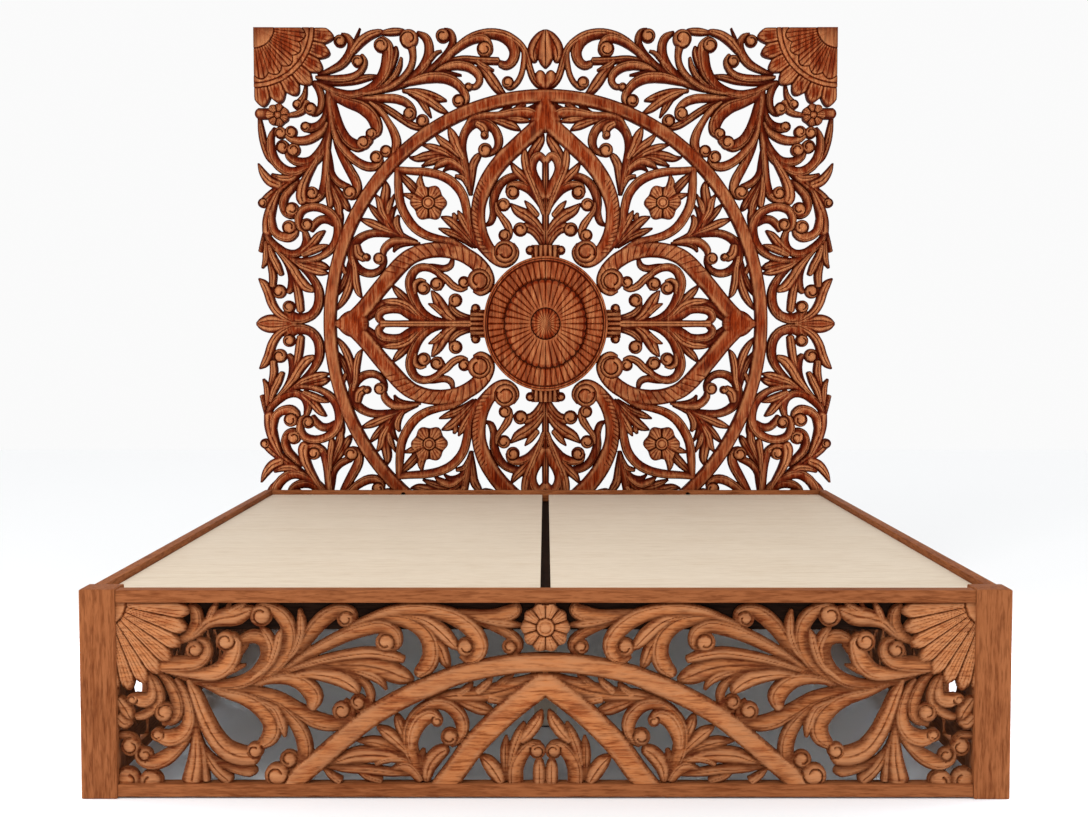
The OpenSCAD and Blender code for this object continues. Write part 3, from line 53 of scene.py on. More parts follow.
# Scrolls and leaves that spring from the corner fan of the headboard
HEAD_CORNER_SCROLLS = [
    [[845, 874, 16], [828, 858, 26], [818, 832, 26], [815, 808, 26], [820, 784, 24], [835, 765, 18],
     [852, 760, 10]],
    [[872, 862, 10], [877, 832, 18], [888, 810, 28], [903, 796, 28]],
    [[866, 806, 22], [878, 780, 22], [902, 764, 20], [938, 757, 14]],
    [[828, 906, 8], [790, 917, 20], [742, 942, 30], [712, 980, 32], [706, 1015, 26], [718, 1040, 20],
     [740, 1049, 12]],
    [[835, 895, 10], [780, 890, 22], [722, 892, 26], [685, 905, 24], [662, 930, 20], [657, 955, 18],
     [668, 975, 12]],
    [[835, 880, 8], [770, 874, 18], [700, 882, 26], [650, 894, 24], [607, 900, 8]],
    [[842, 880, 8], [800, 860, 20], [760, 842, 26], [710, 832, 30], [660, 842, 32], [612, 872, 36],
     [582, 920, 42], [572, 975, 42], [572, 1010, 32], [590, 1032, 18], [606, 1030, 10]],
    [[640, 850, 8], [590, 862, 14], [552, 895, 18], [532, 930, 18], [524, 965, 8]],
    [[570, 900, 10], [555, 945, 22], [546, 980, 24], [543, 1006, 8]],
    [[710, 975, 8], [698, 990, 22], [672, 1022, 32], [640, 1045, 30], [608, 1056, 22], [590, 1060, 8]],
    [[705, 985, 6], [690, 1030, 12], [674, 1072, 4]],
    [[600, 1054, 12], [560, 1058, 26], [528, 1060, 22], [512, 1062, 8]],
    [[690, 835, 6], [640, 838, 16], [590, 850, 20], [545, 872, 22], [512, 900, 22], [490, 932, 22],
     [482, 965, 22], [486, 1000, 28], [494, 1020, 34]],
    [[600, 842, 6], [560, 852, 12], [515, 872, 20], [475, 902, 28], [445, 932, 34], [426, 972, 34],
     [424, 1010, 32], [436, 1038, 28], [465, 1056, 12]],
    [[450, 925, 8], [424, 952, 14], [400, 980, 14], [378, 990, 6]],
    [[620, 840, 6], [580, 848, 12], [520, 868, 22], [460, 896, 24], [410, 930, 24], [370, 968, 24],
     [346, 1000, 24], [336, 1032, 24], [346, 1058, 20], [368, 1068, 10]],
    [[385, 940, 8], [360, 958, 20], [326, 998, 22], [288, 1030, 24], [246, 1050, 24], [196, 1058, 24],
     [145, 1048, 26], [104, 1024, 24], [80, 998, 22], [67, 966, 22], [58, 930, 24], [46, 894, 24],
     [27, 868, 20], [4, 857, 10]],
    [[96, 1010, 8], [80, 985, 14], [80, 945, 18], [88, 905, 18], [105, 874, 18], [128, 856, 14],
     [148, 862, 8]],
    [[215, 1046, 18], [165, 1044, 32], [128, 1024, 40], [112, 988, 38], [120, 955, 34], [142, 938, 30],
     [165, 944, 24]],
    [[382, 938, 8], [362, 960, 18], [334, 988, 24], [296, 1016, 28], [258, 1032, 28], [226, 1034, 28],
     [206, 1018, 22], [200, 992, 18], [212, 972, 12]],
    [[395, 925, 8], [360, 948, 20], [300, 960, 26], [240, 956, 26], [172, 954, 26]],
    [[250, 952, 16], [225, 934, 22], [188, 920, 6]],
    [[400, 915, 8], [365, 930, 22], [320, 938, 30], [278, 930, 30], [248, 908, 28], [240, 882, 24],
     [254, 862, 20], [278, 860, 16]],
    [[245, 938, 14], [215, 912, 32], [190, 878, 38], [168, 848, 30], [150, 830, 18]],
    [[520, 866, 8], [490, 876, 20], [430, 892, 34], [372, 893, 36], [328, 876, 34], [300, 848, 30],
     [288, 820, 24], [294, 798, 16], [310, 788, 8]],
    [[500, 884, 6], [470, 892, 14], [420, 905, 22], [360, 908, 22], [306, 903, 6]],
    [[520, 846, 10], [470, 842, 26], [430, 832, 32], [395, 820, 28], [360, 811, 6]],
    [[510, 846, 10], [465, 832, 26], [420, 808, 30], [385, 782, 26], [352, 763, 6]],
    [[500, 838, 8], [460, 818, 22], [436, 785, 24], [417, 750, 6]],
    [[720, 824, 6], [665, 818, 14], [600, 819, 26], [548, 818, 30], [508, 804, 28], [484, 778, 24],
     [482, 752, 16], [494, 742, 8]],
    [[710, 815, 8], [650, 806, 16], [600, 793, 22], [560, 770, 26], [520, 743, 26], [485, 722, 26],
     [450, 714, 22], [428, 722, 12]],
    [[795, 850, 10], [765, 825, 26], [720, 805, 36], [672, 788, 44], [636, 760, 46], [618, 728, 44],
     [616, 700, 36], [630, 688, 24]],
    [[640, 805, 8], [602, 775, 20], [572, 732, 24], [552, 695, 30], [543, 660, 32], [550, 632, 26],
     [566, 616, 16], [582, 612, 8]],
    [[788, 850, 14], [775, 800, 26], [762, 750, 30], [745, 705, 32], [722, 668, 38], [690, 648, 42],
     [668, 650, 38]],
    [[660, 670, 30], [650, 664, 36], [640, 672, 26]],
    [[792, 850, 14], [798, 790, 14], [806, 750, 22], [825, 723, 30], [852, 712, 34], [874, 716, 34]],
    [[790, 850, 16], [788, 800, 20], [785, 750, 18], [787, 700, 20], [796, 640, 24], [800, 580, 26],
     [804, 530, 28], [810, 495, 30], [822, 465, 26], [848, 450, 24], [878, 450, 20]],
    [[782, 800, 6], [776, 740, 14], [768, 695, 20], [751, 655, 24], [722, 620, 28], [690, 592, 30],
     [655, 574, 32], [622, 573, 28], [600, 590, 18], [602, 610, 8]],
]
# Foliage down the side edge of the headboard
HEAD_SIDE_FOLIAGE = [
    [[1045, 772, 5], [1036, 705, 22], [1026, 655, 26], [1006, 607, 28], [975, 570, 14]],
    [[985, 712, 10], [1000, 680, 22], [1001, 640, 28], [990, 600, 32], [966, 570, 34], [930, 553, 34],
     [892, 560, 30], [850, 582, 26], [818, 612, 22], [798, 650, 16], [792, 690, 8]],
    [[948, 706, 10], [938, 682, 22], [915, 668, 26], [880, 666, 30], [848, 676, 30], [815, 697, 22],
     [795, 730, 10]],
    [[944, 640, 8], [938, 612, 22], [915, 594, 30], [880, 588, 32], [850, 600, 28], [820, 636, 24],
     [802, 680, 14], [795, 720, 6]],
    [[1047, 583, 4], [1031, 550, 24], [1006, 520, 34], [972, 505, 32]],
    [[1030, 440, 34], [1005, 466, 34], [970, 494, 32], [935, 520, 28], [900, 547, 22], [868, 572, 12]],
    [[998, 542, 12], [965, 530, 26], [930, 530, 26], [905, 545, 12]],
    [[820, 625, 6], [842, 582, 18], [866, 542, 26], [884, 502, 34], [890, 465, 40], [884, 445, 36]],
    [[895, 522, 12], [920, 498, 24], [948, 468, 28], [958, 436, 30], [948, 406, 30], [925, 396, 26],
     [906, 410, 14]],
    [[880, 450, 18], [845, 450, 22], [820, 468, 20]],
    [[790, 640, 8], [786, 590, 18], [782, 552, 22], [765, 524, 24], [738, 505, 26], [715, 500, 16]],
    [[772, 720, 8], [763, 665, 20], [745, 617, 26], [718, 567, 32], [695, 525, 34], [686, 492, 30],
     [694, 466, 20], [714, 456, 10]],
    [[790, 540, 8], [792, 490, 20], [786, 445, 26], [787, 420, 8]],
    [[785, 525, 6], [776, 480, 16], [763, 435, 22], [751, 395, 24], [744, 362, 6]],
    [[785, 515, 6], [768, 470, 18], [752, 430, 20], [752, 400, 16]],
    [[790, 530, 6], [770, 500, 18], [748, 465, 28], [728, 430, 26], [716, 412, 8]],
    [[965, 500, 10], [985, 460, 24], [1002, 420, 36], [1012, 375, 42], [1014, 335, 40]],
    [[1000, 412, 14], [1000, 368, 26], [991, 338, 28], [968, 320, 32], [938, 316, 34], [916, 328, 24],
     [908, 340, 10]],
    [[1020, 335, 14], [1010, 308, 24], [986, 281, 30], [950, 260, 28], [915, 256, 28], [886, 272, 30],
     [874, 300, 30], [878, 328, 22], [886, 345, 12]],
    [[880, 336, 8], [898, 350, 18], [903, 385, 26], [888, 414, 28], [852, 426, 28], [812, 419, 30],
     [776, 395, 32], [758, 355, 32], [762, 312, 32], [780, 278, 30], [815, 249, 24], [860, 234, 20],
     [905, 232, 16], [945, 246, 12]],
    [[856, 338, 14], [846, 360, 26], [824, 379, 28], [798, 380, 28], [774, 364, 20]],
    [[806, 340, 5], [828, 322, 26], [848, 298, 32], [872, 275, 28], [905, 252, 12]],
    [[796, 287, 6], [822, 279, 22], [850, 268, 26], [888, 250, 16]],
    [[790, 202, 5], [822, 211, 34], [862, 219, 28], [910, 228, 12]],
    [[796, 184, 6], [828, 190, 28], [862, 200, 28], [898, 215, 20], [935, 240, 12]],
    [[1041, 264, 18], [1034, 300, 16], [1026, 340, 12]],
    [[1037, 203, 5], [1025, 228, 20], [1021, 265, 22], [1021, 300, 14]],
    [[966, 179, 16], [981, 212, 26], [998, 246, 24], [1010, 285, 12]],
    [[1000, 138, 24], [998, 178, 28], [1006, 215, 22], [1016, 250, 10]],
    [[1049, 165, 4], [1030, 145, 26], [1016, 115, 30], [1003, 75, 30], [982, 42, 28], [952, 20, 24],
     [925, 8, 14]],
    [[944, 115, 18], [932, 132, 26], [929, 168, 26], [937, 205, 26], [957, 238, 20], [985, 268, 10]],
    [[898, 48, 26], [903, 90, 30], [910, 132, 26], [922, 170, 12]],
    [[852, 122, 18], [880, 137, 34], [905, 170, 32], [926, 205, 26], [952, 236, 18], [985, 270, 8]],
    [[940, 236, 10], [893, 207, 20], [855, 168, 26], [834, 130, 32], [829, 92, 34], [838, 56, 34],
     [864, 28, 34], [905, 18, 38], [936, 30, 38], [944, 50, 30]],
    [[1057, 0, 8], [1030, 8, 36], [1000, 12, 42], [960, 8, 26], [915, 0, 14]],
]
# Sprays between the ring and the arches
HEAD_RING_SPRAYS = [
    [[275, 470, 10], [290, 530, 26], [322, 588, 32], [380, 614, 36], [435, 610, 34], [470, 602, 22],
     [497, 606, 5]],
    [[320, 595, 14], [365, 624, 26], [410, 641, 26], [450, 652, 5]],
    [[315, 610, 14], [345, 640, 26], [378, 664, 26], [404, 692, 5]],
    [[330, 598, 12], [380, 600, 24], [420, 588, 22], [452, 574, 5]],
    [[300, 560, 12], [345, 590, 24], [382, 582, 24], [408, 562, 5]],
    [[290, 535, 12], [320, 566, 22], [350, 572, 20], [373, 556, 5]],
    [[285, 500, 12], [300, 530, 20], [328, 538, 12]],
    [[300, 600, 14], [322, 640, 32], [337, 680, 34], [353, 716, 6]],
    [[272, 470, 12], [284, 540, 24], [298, 600, 28], [304, 650, 28], [293, 697, 30], [264, 728, 34],
     [225, 732, 34], [188, 710, 32], [171, 672, 32], [176, 640, 26], [198, 620, 16], [215, 612, 8]],
    [[250, 728, 22], [225, 712, 30], [221, 688, 24]],
    [[270, 478, 8], [268, 535, 24], [264, 578, 30], [250, 605, 26], [236, 620, 8]],
    [[272, 560, 14], [258, 580, 12], [246, 586, 4]],
    [[298, 705, 8], [270, 744, 18], [225, 756, 22], [170, 757, 26], [120, 764, 36], [75, 767, 40],
     [42, 762, 26], [25, 752, 6]],
    [[180, 757, 12], [148, 775, 20], [126, 797, 14]],
    [[130, 766, 14], [100, 782, 22], [76, 800, 16]],
    [[80, 772, 14], [48, 785, 20], [24, 803, 8]],
    [[230, 750, 8], [175, 738, 20], [125, 722, 30], [92, 704, 6]],
    [[150, 748, 8], [100, 742, 22], [55, 736, 6]],
    [[470, 300, 10], [520, 318, 24], [560, 345, 34], [582, 390, 38], [588, 440, 36], [582, 490, 30],
     [585, 521, 5]],
    [[575, 370, 12], [598, 410, 26], [606, 445, 24], [622, 472, 5]],
    [[560, 350, 12], [595, 378, 26], [625, 412, 24], [648, 438, 5]],
    [[530, 325, 12], [585, 345, 24], [635, 366, 30], [678, 382, 8]],
    [[575, 400, 10], [570, 430, 20], [551, 471, 5]],
    [[560, 365, 10], [563, 400, 20], [544, 432, 5]],
    [[520, 318, 12], [540, 350, 22], [545, 375, 22], [536, 395, 8]],
    [[470, 297, 8], [530, 318, 20], [590, 330, 26], [645, 328, 28], [690, 303, 32], [708, 262, 34],
     [700, 220, 30], [672, 192, 30], [637, 184, 28], [607, 196, 24], [590, 222, 18], [588, 248, 10]],
    [[690, 285, 24], [684, 255, 34], [664, 240, 30]],
    [[460, 293, 8], [515, 302, 20], [560, 298, 28], [588, 275, 26], [596, 250, 18]],
    [[470, 292, 8], [520, 292, 20], [546, 280, 18], [556, 262, 5]],
    [[706, 245, 10], [697, 200, 20], [694, 155, 26], [686, 118, 22], [674, 95, 5]],
    [[714, 245, 8], [722, 195, 22], [736, 155, 24], [752, 125, 18], [766, 101, 5]],
    [[708, 215, 8], [712, 160, 24], [728, 110, 28], [748, 75, 20], [768, 50, 5]],
    [[758, 255, 10], [745, 215, 14], [733, 185, 14]],
]
# Trees inside the upright and the lying arch
HEAD_ARCH_TREES = [
    [[0, 470, 14], [35, 506, 22], [75, 534, 24], [112, 538, 26], [148, 524, 28], [176, 492, 32],
     [190, 448, 30], [190, 405, 26], [200, 372, 22], [222, 357, 5]],
    [[8, 415, 16], [28, 455, 28], [60, 490, 30], [98, 506, 28], [130, 502, 20], [143, 478, 8]],
    [[180, 440, 8], [176, 412, 16], [158, 386, 22], [140, 360, 28], [131, 335, 22], [133, 312, 12],
     [148, 302, 6]],
    [[128, 438, 5], [102, 413, 34], [70, 395, 42], [38, 368, 34], [8, 330, 20]],
    [[76, 448, 4], [56, 425, 22], [30, 395, 20]],
    [[8, 285, 22], [22, 315, 30], [45, 342, 34], [75, 354, 36]],
    [[127, 590, 4], [110, 562, 26], [86, 538, 32], [58, 505, 26], [30, 465, 16], [8, 420, 12]],
    [[74, 640, 6], [76, 605, 26], [68, 560, 28], [48, 510, 26], [26, 455, 18], [8, 400, 12]],
    [[8, 692, 6], [18, 665, 28], [40, 632, 36], [55, 598, 34], [52, 558, 26], [38, 510, 22], [20, 460, 16]],
    [[2, 592, 22], [20, 611, 26], [40, 600, 30], [47, 570, 26], [42, 540, 30], [26, 505, 34],
     [10, 460, 26]],
    [[0, 285, 26], [0, 350, 24], [0, 450, 24], [0, 520, 24], [0, 605, 22]],
    [[275, 8, 20], [320, 10, 20], [380, 10, 20], [430, 26, 26], [464, 58, 30], [486, 102, 34],
     [497, 150, 34], [484, 188, 30], [455, 206, 28], [420, 202, 26], [388, 180, 22], [376, 150, 14],
     [388, 124, 8]],
    [[476, 110, 10], [478, 145, 16], [460, 160, 14], [440, 156, 8]],
    [[462, 212, 8], [415, 208, 22], [372, 202, 24], [348, 213, 22], [340, 238, 12]],
    [[410, 198, 8], [368, 168, 24], [340, 140, 26], [312, 127, 22], [288, 132, 12]],
    [[350, 85, 8], [344, 58, 20], [325, 38, 24], [300, 26, 24], [275, 20, 22]],
    [[418, 121, 4], [400, 95, 32], [382, 62, 44], [360, 32, 36], [330, 10, 18]],
    [[429, 73, 4], [405, 62, 20], [380, 40, 20]],
    [[563, 143, 4], [540, 116, 26], [510, 86, 30], [480, 50, 26], [450, 20, 18], [410, 6, 12]],
    [[602, 84, 5], [570, 82, 22], [535, 78, 28], [500, 62, 28], [465, 30, 20], [430, 8, 12]],
    [[675, 4, 8], [660, 18, 24], [632, 42, 34], [597, 66, 38], [556, 76, 30], [510, 60, 20]],
    [[596, 2, 22], [612, 24, 26], [598, 46, 28], [562, 53, 28], [528, 50, 30], [495, 32, 34],
     [450, 10, 26]],
    [[275, 0, 26], [400, 0, 22], [500, 0, 24], [560, 0, 22], [600, 0, 26]],
]
# Leaves inside the pointed frames
HEAD_FRAME_LEAVES = [
    [[545, 558, 8], [505, 520, 30], [470, 482, 34], [445, 455, 30]],
    [[518, 472, 8], [485, 462, 26], [450, 448, 26]],
    [[455, 541, 6], [458, 510, 26], [445, 480, 24]],
    [[255, 280, 12], [300, 330, 30], [345, 372, 34], [381, 390, 6]],
    [[255, 290, 12], [280, 340, 26], [303, 380, 28], [320, 412, 5]],
    [[265, 280, 10], [315, 318, 26], [355, 335, 26], [391, 348, 5]],
    [[330, 360, 10], [332, 392, 18], [338, 402, 5]],
]
# Upright arch and lying arch
HEAD_ARCHES = [
    [[0, 742, 60], [45, 700, 58], [95, 655, 58], [155, 598, 58], [200, 540, 56], [228, 485, 54],
     [244, 430, 50], [246, 375, 50], [236, 325, 50], [214, 278, 50], [182, 240, 46], [148, 225, 40],
     [118, 240, 30], [108, 265, 22], [120, 290, 14]],
    [[735, 0, 58], [697, 25, 56], [652, 72, 56], [607, 128, 56], [562, 180, 58], [525, 220, 58],
     [488, 248, 56], [435, 266, 54], [375, 270, 54], [315, 258, 54], [265, 232, 56], [228, 196, 54],
     [208, 160, 42], [212, 130, 30], [238, 112, 20], [262, 120, 12]],
]
# Upper edge and side edge of the pointed frame
HEAD_FRAME = [
    [[545, 562, 20], [500, 557, 24], [440, 553, 28], [385, 541, 30], [338, 515, 32], [304, 472, 32],
     [289, 420, 30], [282, 360, 26], [262, 310, 22], [238, 275, 16], [215, 245, 10]],
    [[540, 562, 20], [537, 500, 28], [530, 440, 30], [510, 393, 32], [480, 352, 32], [440, 325, 30],
     [395, 311, 26], [340, 298, 24], [290, 270, 20], [250, 240, 14], [220, 212, 8]],
]
# Tips where the upright and the level arch run into the great ring
HEAD_TIPS = [
    [[0, 812, 36], [0, 794, 48], [0, 770, 76], [0, 742, 110]],
    [[776, 0, 8], [742, 0, 46], [706, 0, 96], [690, 0, 84]],
]
# Round ends of the scrolls, [across, up, radius]
HEAD_BALLS = [
    [855, 781, 22], [747, 1025, 22], [682, 952, 22], [597, 1010, 26], [496, 1032, 33], [373, 1044, 25],
    [222, 996, 27], [137, 876, 21], [316, 810, 23], [494, 763, 23], [448, 738, 23],
    [965, 694, 21], [958, 644, 24], [926, 697, 21], [917, 632, 23], [852, 476, 23], [925, 418, 24],
    [714, 478, 25], [616, 606, 23], [581, 628, 21], [936, 352, 25], [872, 362, 22], [975, 118, 25],
    [940, 62, 22], [220, 632, 25], [608, 238, 21], [120, 478, 24], [153, 434, 23], [149, 322, 22],
    [92, 344, 25], [398, 145, 24], [447, 130, 24], [298, 152, 21], [330, 86, 24], [903, 796, 17],
    [874, 716, 18], [1032, 440, 17], [663, 658, 24], [634, 690, 20], [222, 686, 14], [655, 243, 14],
    [280, 860, 14],
]
# Large volutes at the feet of the arches
HEAD_VOLUTES = [
    [147, 262, 42], [242, 159, 42],
]
# Scrolls and leaves of the foot panel outside its large arch
FOOT_SCROLLS = [
    [[822, 335, 12], [797, 352, 22], [781, 376, 26], [783, 402, 24], [796, 417, 10]],
    [[822, 332, 8], [785, 350, 16], [755, 377, 24], [725, 388, 36], [695, 393, 42], [670, 402, 28],
     [652, 411, 5]],
    [[755, 380, 10], [745, 402, 16], [736, 422, 5]],
    [[722, 392, 14], [712, 408, 12], [706, 421, 4]],
    [[705, 400, 18], [682, 414, 16], [672, 421, 8]],
    [[705, 378, 16], [688, 380, 14], [676, 380, 5]],
    [[858, 282, 34], [815, 283, 34], [778, 288, 30], [758, 308, 24], [760, 330, 16], [778, 341, 8]],
    [[850, 268, 8], [795, 262, 18], [742, 264, 34], [714, 282, 40], [700, 306, 38], [692, 332, 24],
     [702, 352, 10]],
    [[715, 290, 20], [690, 308, 20], [668, 326, 5]],
    [[740, 262, 20], [705, 271, 18], [673, 281, 4]],
    [[845, 266, 6], [790, 246, 14], [735, 237, 20], [685, 241, 28], [645, 263, 32], [621, 300, 36],
     [628, 335, 32], [655, 346, 28], [682, 335, 22]],
    [[622, 285, 10], [612, 320, 22], [622, 348, 20], [637, 367, 5]],
    [[660, 248, 8], [618, 282, 14], [603, 315, 20], [596, 345, 18], [590, 362, 4]],
    [[655, 238, 6], [620, 262, 20], [592, 290, 28], [575, 322, 30], [572, 355, 32], [584, 386, 32],
     [608, 407, 26], [636, 415, 16], [655, 402, 8]],
    [[592, 280, 6], [562, 315, 16], [548, 350, 20], [546, 380, 18], [550, 407, 4]],
    [[600, 268, 6], [568, 300, 16], [542, 330, 26], [516, 366, 34], [488, 393, 34], [458, 407, 26],
     [434, 400, 20], [430, 383, 14], [440, 372, 8]],
    [[650, 238, 6], [590, 268, 12], [545, 298, 18], [495, 326, 26], [445, 350, 30], [400, 365, 32],
     [366, 369, 30], [338, 354, 28], [331, 330, 18], [345, 314, 8]],
    [[440, 368, 6], [400, 385, 14], [350, 402, 22], [300, 408, 28], [250, 404, 30], [205, 390, 34],
     [168, 365, 36], [147, 333, 34], [150, 306, 28], [172, 293, 16], [190, 302, 8]],
    [[210, 402, 8], [165, 396, 18], [120, 392, 26], [88, 396, 34], [68, 406, 28], [68, 421, 6]],
    [[170, 390, 6], [120, 380, 16], [85, 375, 18], [53, 371, 4]],
    [[165, 384, 6], [115, 366, 16], [80, 350, 22], [61, 330, 22], [66, 312, 14], [80, 306, 6]],
    [[420, 372, 6], [375, 386, 12], [335, 386, 26], [292, 373, 32], [264, 346, 36], [255, 312, 38],
     [264, 282, 38], [284, 263, 24]],
    [[305, 395, 8], [262, 380, 26], [230, 354, 32], [205, 328, 20], [195, 321, 8]],
    [[255, 350, 14], [236, 322, 26], [224, 290, 22], [218, 278, 8]],
    [[640, 236, 6], [570, 270, 12], [510, 290, 18], [450, 303, 22], [395, 309, 24], [350, 303, 24],
     [318, 294, 14]],
    [[610, 252, 6], [530, 275, 14], [470, 281, 24], [412, 281, 38], [360, 271, 46], [325, 257, 38],
     [298, 248, 8]],
    [[440, 272, 8], [400, 262, 20], [372, 248, 18], [357, 226, 4]],
    [[605, 245, 8], [545, 260, 16], [500, 260, 28], [460, 251, 34], [432, 235, 28], [420, 222, 12]],
    [[460, 270, 6], [425, 256, 14], [400, 234, 18], [392, 208, 18], [402, 184, 14], [424, 177, 6]],
    [[650, 237, 6], [610, 249, 18], [570, 250, 28], [538, 236, 38], [519, 210, 38], [524, 184, 18]],
    [[760, 240, 6], [700, 228, 16], [650, 221, 22], [600, 205, 28], [555, 178, 32], [510, 154, 36],
     [468, 148, 30], [438, 162, 20], [436, 188, 12], [450, 202, 6]],
    [[770, 238, 8], [720, 219, 20], [675, 206, 30], [638, 184, 38], [614, 150, 40], [618, 120, 38],
     [642, 98, 18]],
    [[645, 203, 10], [608, 184, 18], [592, 150, 22], [585, 119, 4]],
    [[650, 212, 6], [610, 196, 14], [575, 166, 24], [550, 131, 32], [540, 96, 34], [543, 66, 30],
     [558, 47, 18], [578, 44, 8]],
    [[800, 248, 8], [785, 216, 26], [768, 170, 34], [747, 126, 38], [720, 92, 42], [686, 76, 44],
     [655, 74, 38]],
    [[770, 95, 6], [740, 64, 12], [702, 46, 18], [666, 40, 24], [652, 44, 12]],
    [[785, 165, 6], [784, 115, 20], [786, 65, 36], [794, 20, 46]],
    [[780, 130, 4], [768, 85, 10], [762, 20, 14]],
    [[772, 102, 6], [755, 68, 20], [735, 40, 26], [712, 20, 28]],
    [[828, 250, 6], [812, 225, 16], [800, 190, 22], [799, 155, 28], [815, 127, 34], [843, 115, 36],
     [868, 122, 26]],
    [[872, 268, 6], [848, 246, 20], [829, 211, 28], [824, 178, 28], [836, 155, 18], [860, 149, 8]],
    [[886, 264, 6], [872, 236, 20], [865, 206, 20], [878, 183, 20], [900, 169, 20], [918, 164, 12]],
    [[888, 258, 6], [881, 226, 18], [886, 206, 26], [905, 202, 30], [922, 210, 18]],
    [[957, 205, 20], [940, 180, 34], [930, 160, 10]],
    [[960, 165, 24], [945, 150, 24], [930, 152, 10]],
    [[960, 122, 14], [935, 120, 18], [918, 105, 14], [918, 88, 8]],
    [[790, 150, 4], [800, 122, 14], [826, 92, 26], [855, 70, 34], [886, 58, 28], [912, 66, 16],
     [916, 84, 10], [905, 96, 4]],
]
# Leaves inside the large arch
FOOT_ARCH_LEAVES = [
    [[268, 200, 6], [210, 212, 24], [165, 213, 30], [120, 219, 36], [80, 229, 38], [45, 243, 26],
     [8, 265, 5]],
    [[195, 214, 14], [175, 228, 16], [164, 241, 4]],
    [[152, 222, 16], [132, 238, 16], [120, 253, 4]],
    [[108, 232, 16], [88, 248, 14], [72, 261, 4]],
    [[125, 207, 20], [98, 202, 16], [78, 208, 4]],
    [[205, 204, 8], [172, 192, 24], [142, 182, 28], [120, 176, 10]],
    [[275, 22, 8], [293, 60, 24], [304, 100, 32], [303, 140, 30], [286, 172, 26], [256, 192, 24],
     [222, 191, 26], [196, 170, 30], [186, 142, 28], [194, 116, 20], [212, 100, 10]],
    [[300, 95, 18], [294, 130, 30], [278, 157, 34], [256, 167, 30], [243, 157, 24]],
    [[280, 45, 6], [302, 90, 14], [318, 125, 22], [328, 150, 22], [334, 168, 8]],
    [[292, 65, 6], [322, 98, 20], [352, 125, 26], [377, 142, 5]],
    [[292, 62, 6], [335, 90, 22], [380, 105, 26], [422, 110, 5]],
    [[300, 58, 8], [355, 76, 28], [420, 77, 36], [460, 66, 20], [484, 59, 5]],
    [[290, 55, 6], [325, 70, 14], [358, 68, 16], [381, 57, 8]],
    [[300, 34, 8], [350, 38, 18], [400, 44, 20], [450, 46, 16], [494, 51, 4]],
    [[345, 46, 5], [315, 52, 24], [295, 38, 22], [282, 20, 16]],
    [[276, 22, 8], [280, 52, 20], [278, 78, 14], [273, 90, 5]],
    [[268, 20, 16], [262, 52, 32], [243, 78, 34], [225, 90, 22]],
    [[497, 46, 4], [482, 32, 14], [462, 18, 20]],
    [[420, 42, 10], [400, 28, 16], [370, 18, 16]],
    [[146, 76, 5], [128, 60, 28], [112, 38, 32], [100, 18, 22]],
    [[88, 120, 4], [90, 92, 20], [90, 60, 20], [88, 22, 14]],
    [[48, 151, 4], [58, 126, 20], [70, 95, 22], [80, 55, 14]],
    [[8, 179, 4], [18, 156, 24], [36, 130, 26], [54, 110, 14]],
    [[68, 15, 34], [67, 48, 34], [54, 77, 30], [34, 97, 26], [12, 100, 14]],
    [[14, 69, 6], [14, 50, 24], [14, 15, 26]],
]
# Large arch and pointed arch
FOOT_ARCHES = [
    [[590, -10, 42], [560, 22, 42], [500, 75, 42], [450, 118, 42], [400, 158, 42], [350, 190, 42],
     [300, 216, 42], [250, 238, 42], [200, 258, 40], [150, 271, 40], [100, 280, 40], [50, 286, 40],
     [0, 288, 40]],
    [[235, 0, 50], [200, 46, 50], [165, 95, 50], [125, 138, 50], [80, 180, 50], [40, 212, 50], [0, 242, 50]],
]
# Round ends of the scrolls, [across, up, radius]
FOOT_BALLS = [
    [785, 316, 19], [715, 336, 21], [636, 394, 24], [447, 386, 18], [358, 334, 21], [178, 323, 20],
    [80, 323, 16], [420, 198, 17], [457, 178, 20], [576, 68, 20], [603, 33, 26], [652, 88, 18],
    [870, 124, 14], [855, 175, 21], [932, 97, 20], [899, 78, 16], [940, 22, 28], [886, 18, 26],
    [215, 119, 19], [243, 156, 12], [18, 87, 17], [925, 205, 12],
]

# ---- Height maps of the carved plates, in millimetres ----

CELL = 2.25        # pitch of the grid
STEP = 6.0         # pitch of the points on a stroke's centre line
OUTSIDE = -20.0    # edge distance where nothing is near
THINNEST = 3.0     # least width of a stroke
END_CAP = 2.5      # how blunt a stroke's ends are
FUSE = 1.5         # extra width all round that makes neighbours touch
FULL_WIDTH = 24    # a stroke at least this wide rises to its full height
ROOM = 8           # room on the grid round a round shape
NEAR = 6           # a round shape this near the middle line has its mirror image carved too
GROOVE = 2.2       # half width of a carved groove
VOLUTE = 35        # a scroll end larger than this is a volute
HATCH_DEPTH = 2.8

# Cross-sections: place across the stroke, from the inner to the outer side of its bend, and height
DOME = ([-1, -0.8, -0.4, 0, 0.4, 0.8, 1], [0, 0.6, 0.92, 1, 0.92, 0.6, 0])
LEAF = ([-1, -0.85, -0.5, -0.16, 0, 0.16, 0.5, 0.85, 1], [0, 0.5, 0.88, 0.92, 0.58, 0.96, 0.92, 0.55, 0])
SCROLL = ([-1, -0.86, -0.5, 0, 0.36, 0.52, 0.68, 0.88, 1], [0, 0.4, 0.62, 0.82, 0.92, 0.66, 1, 0.72, 0])
BAND = ([-1, -0.9, -0.74, -0.4, 0.4, 0.74, 0.9, 1], [0, 0.55, 0.86, 1, 1, 0.86, 0.55, 0])
THIN_STROKE = 13   # a stroke narrower than this is a plain dome
CURLED = 1.2       # a stroke that turns further than this, in radians, is a scroll


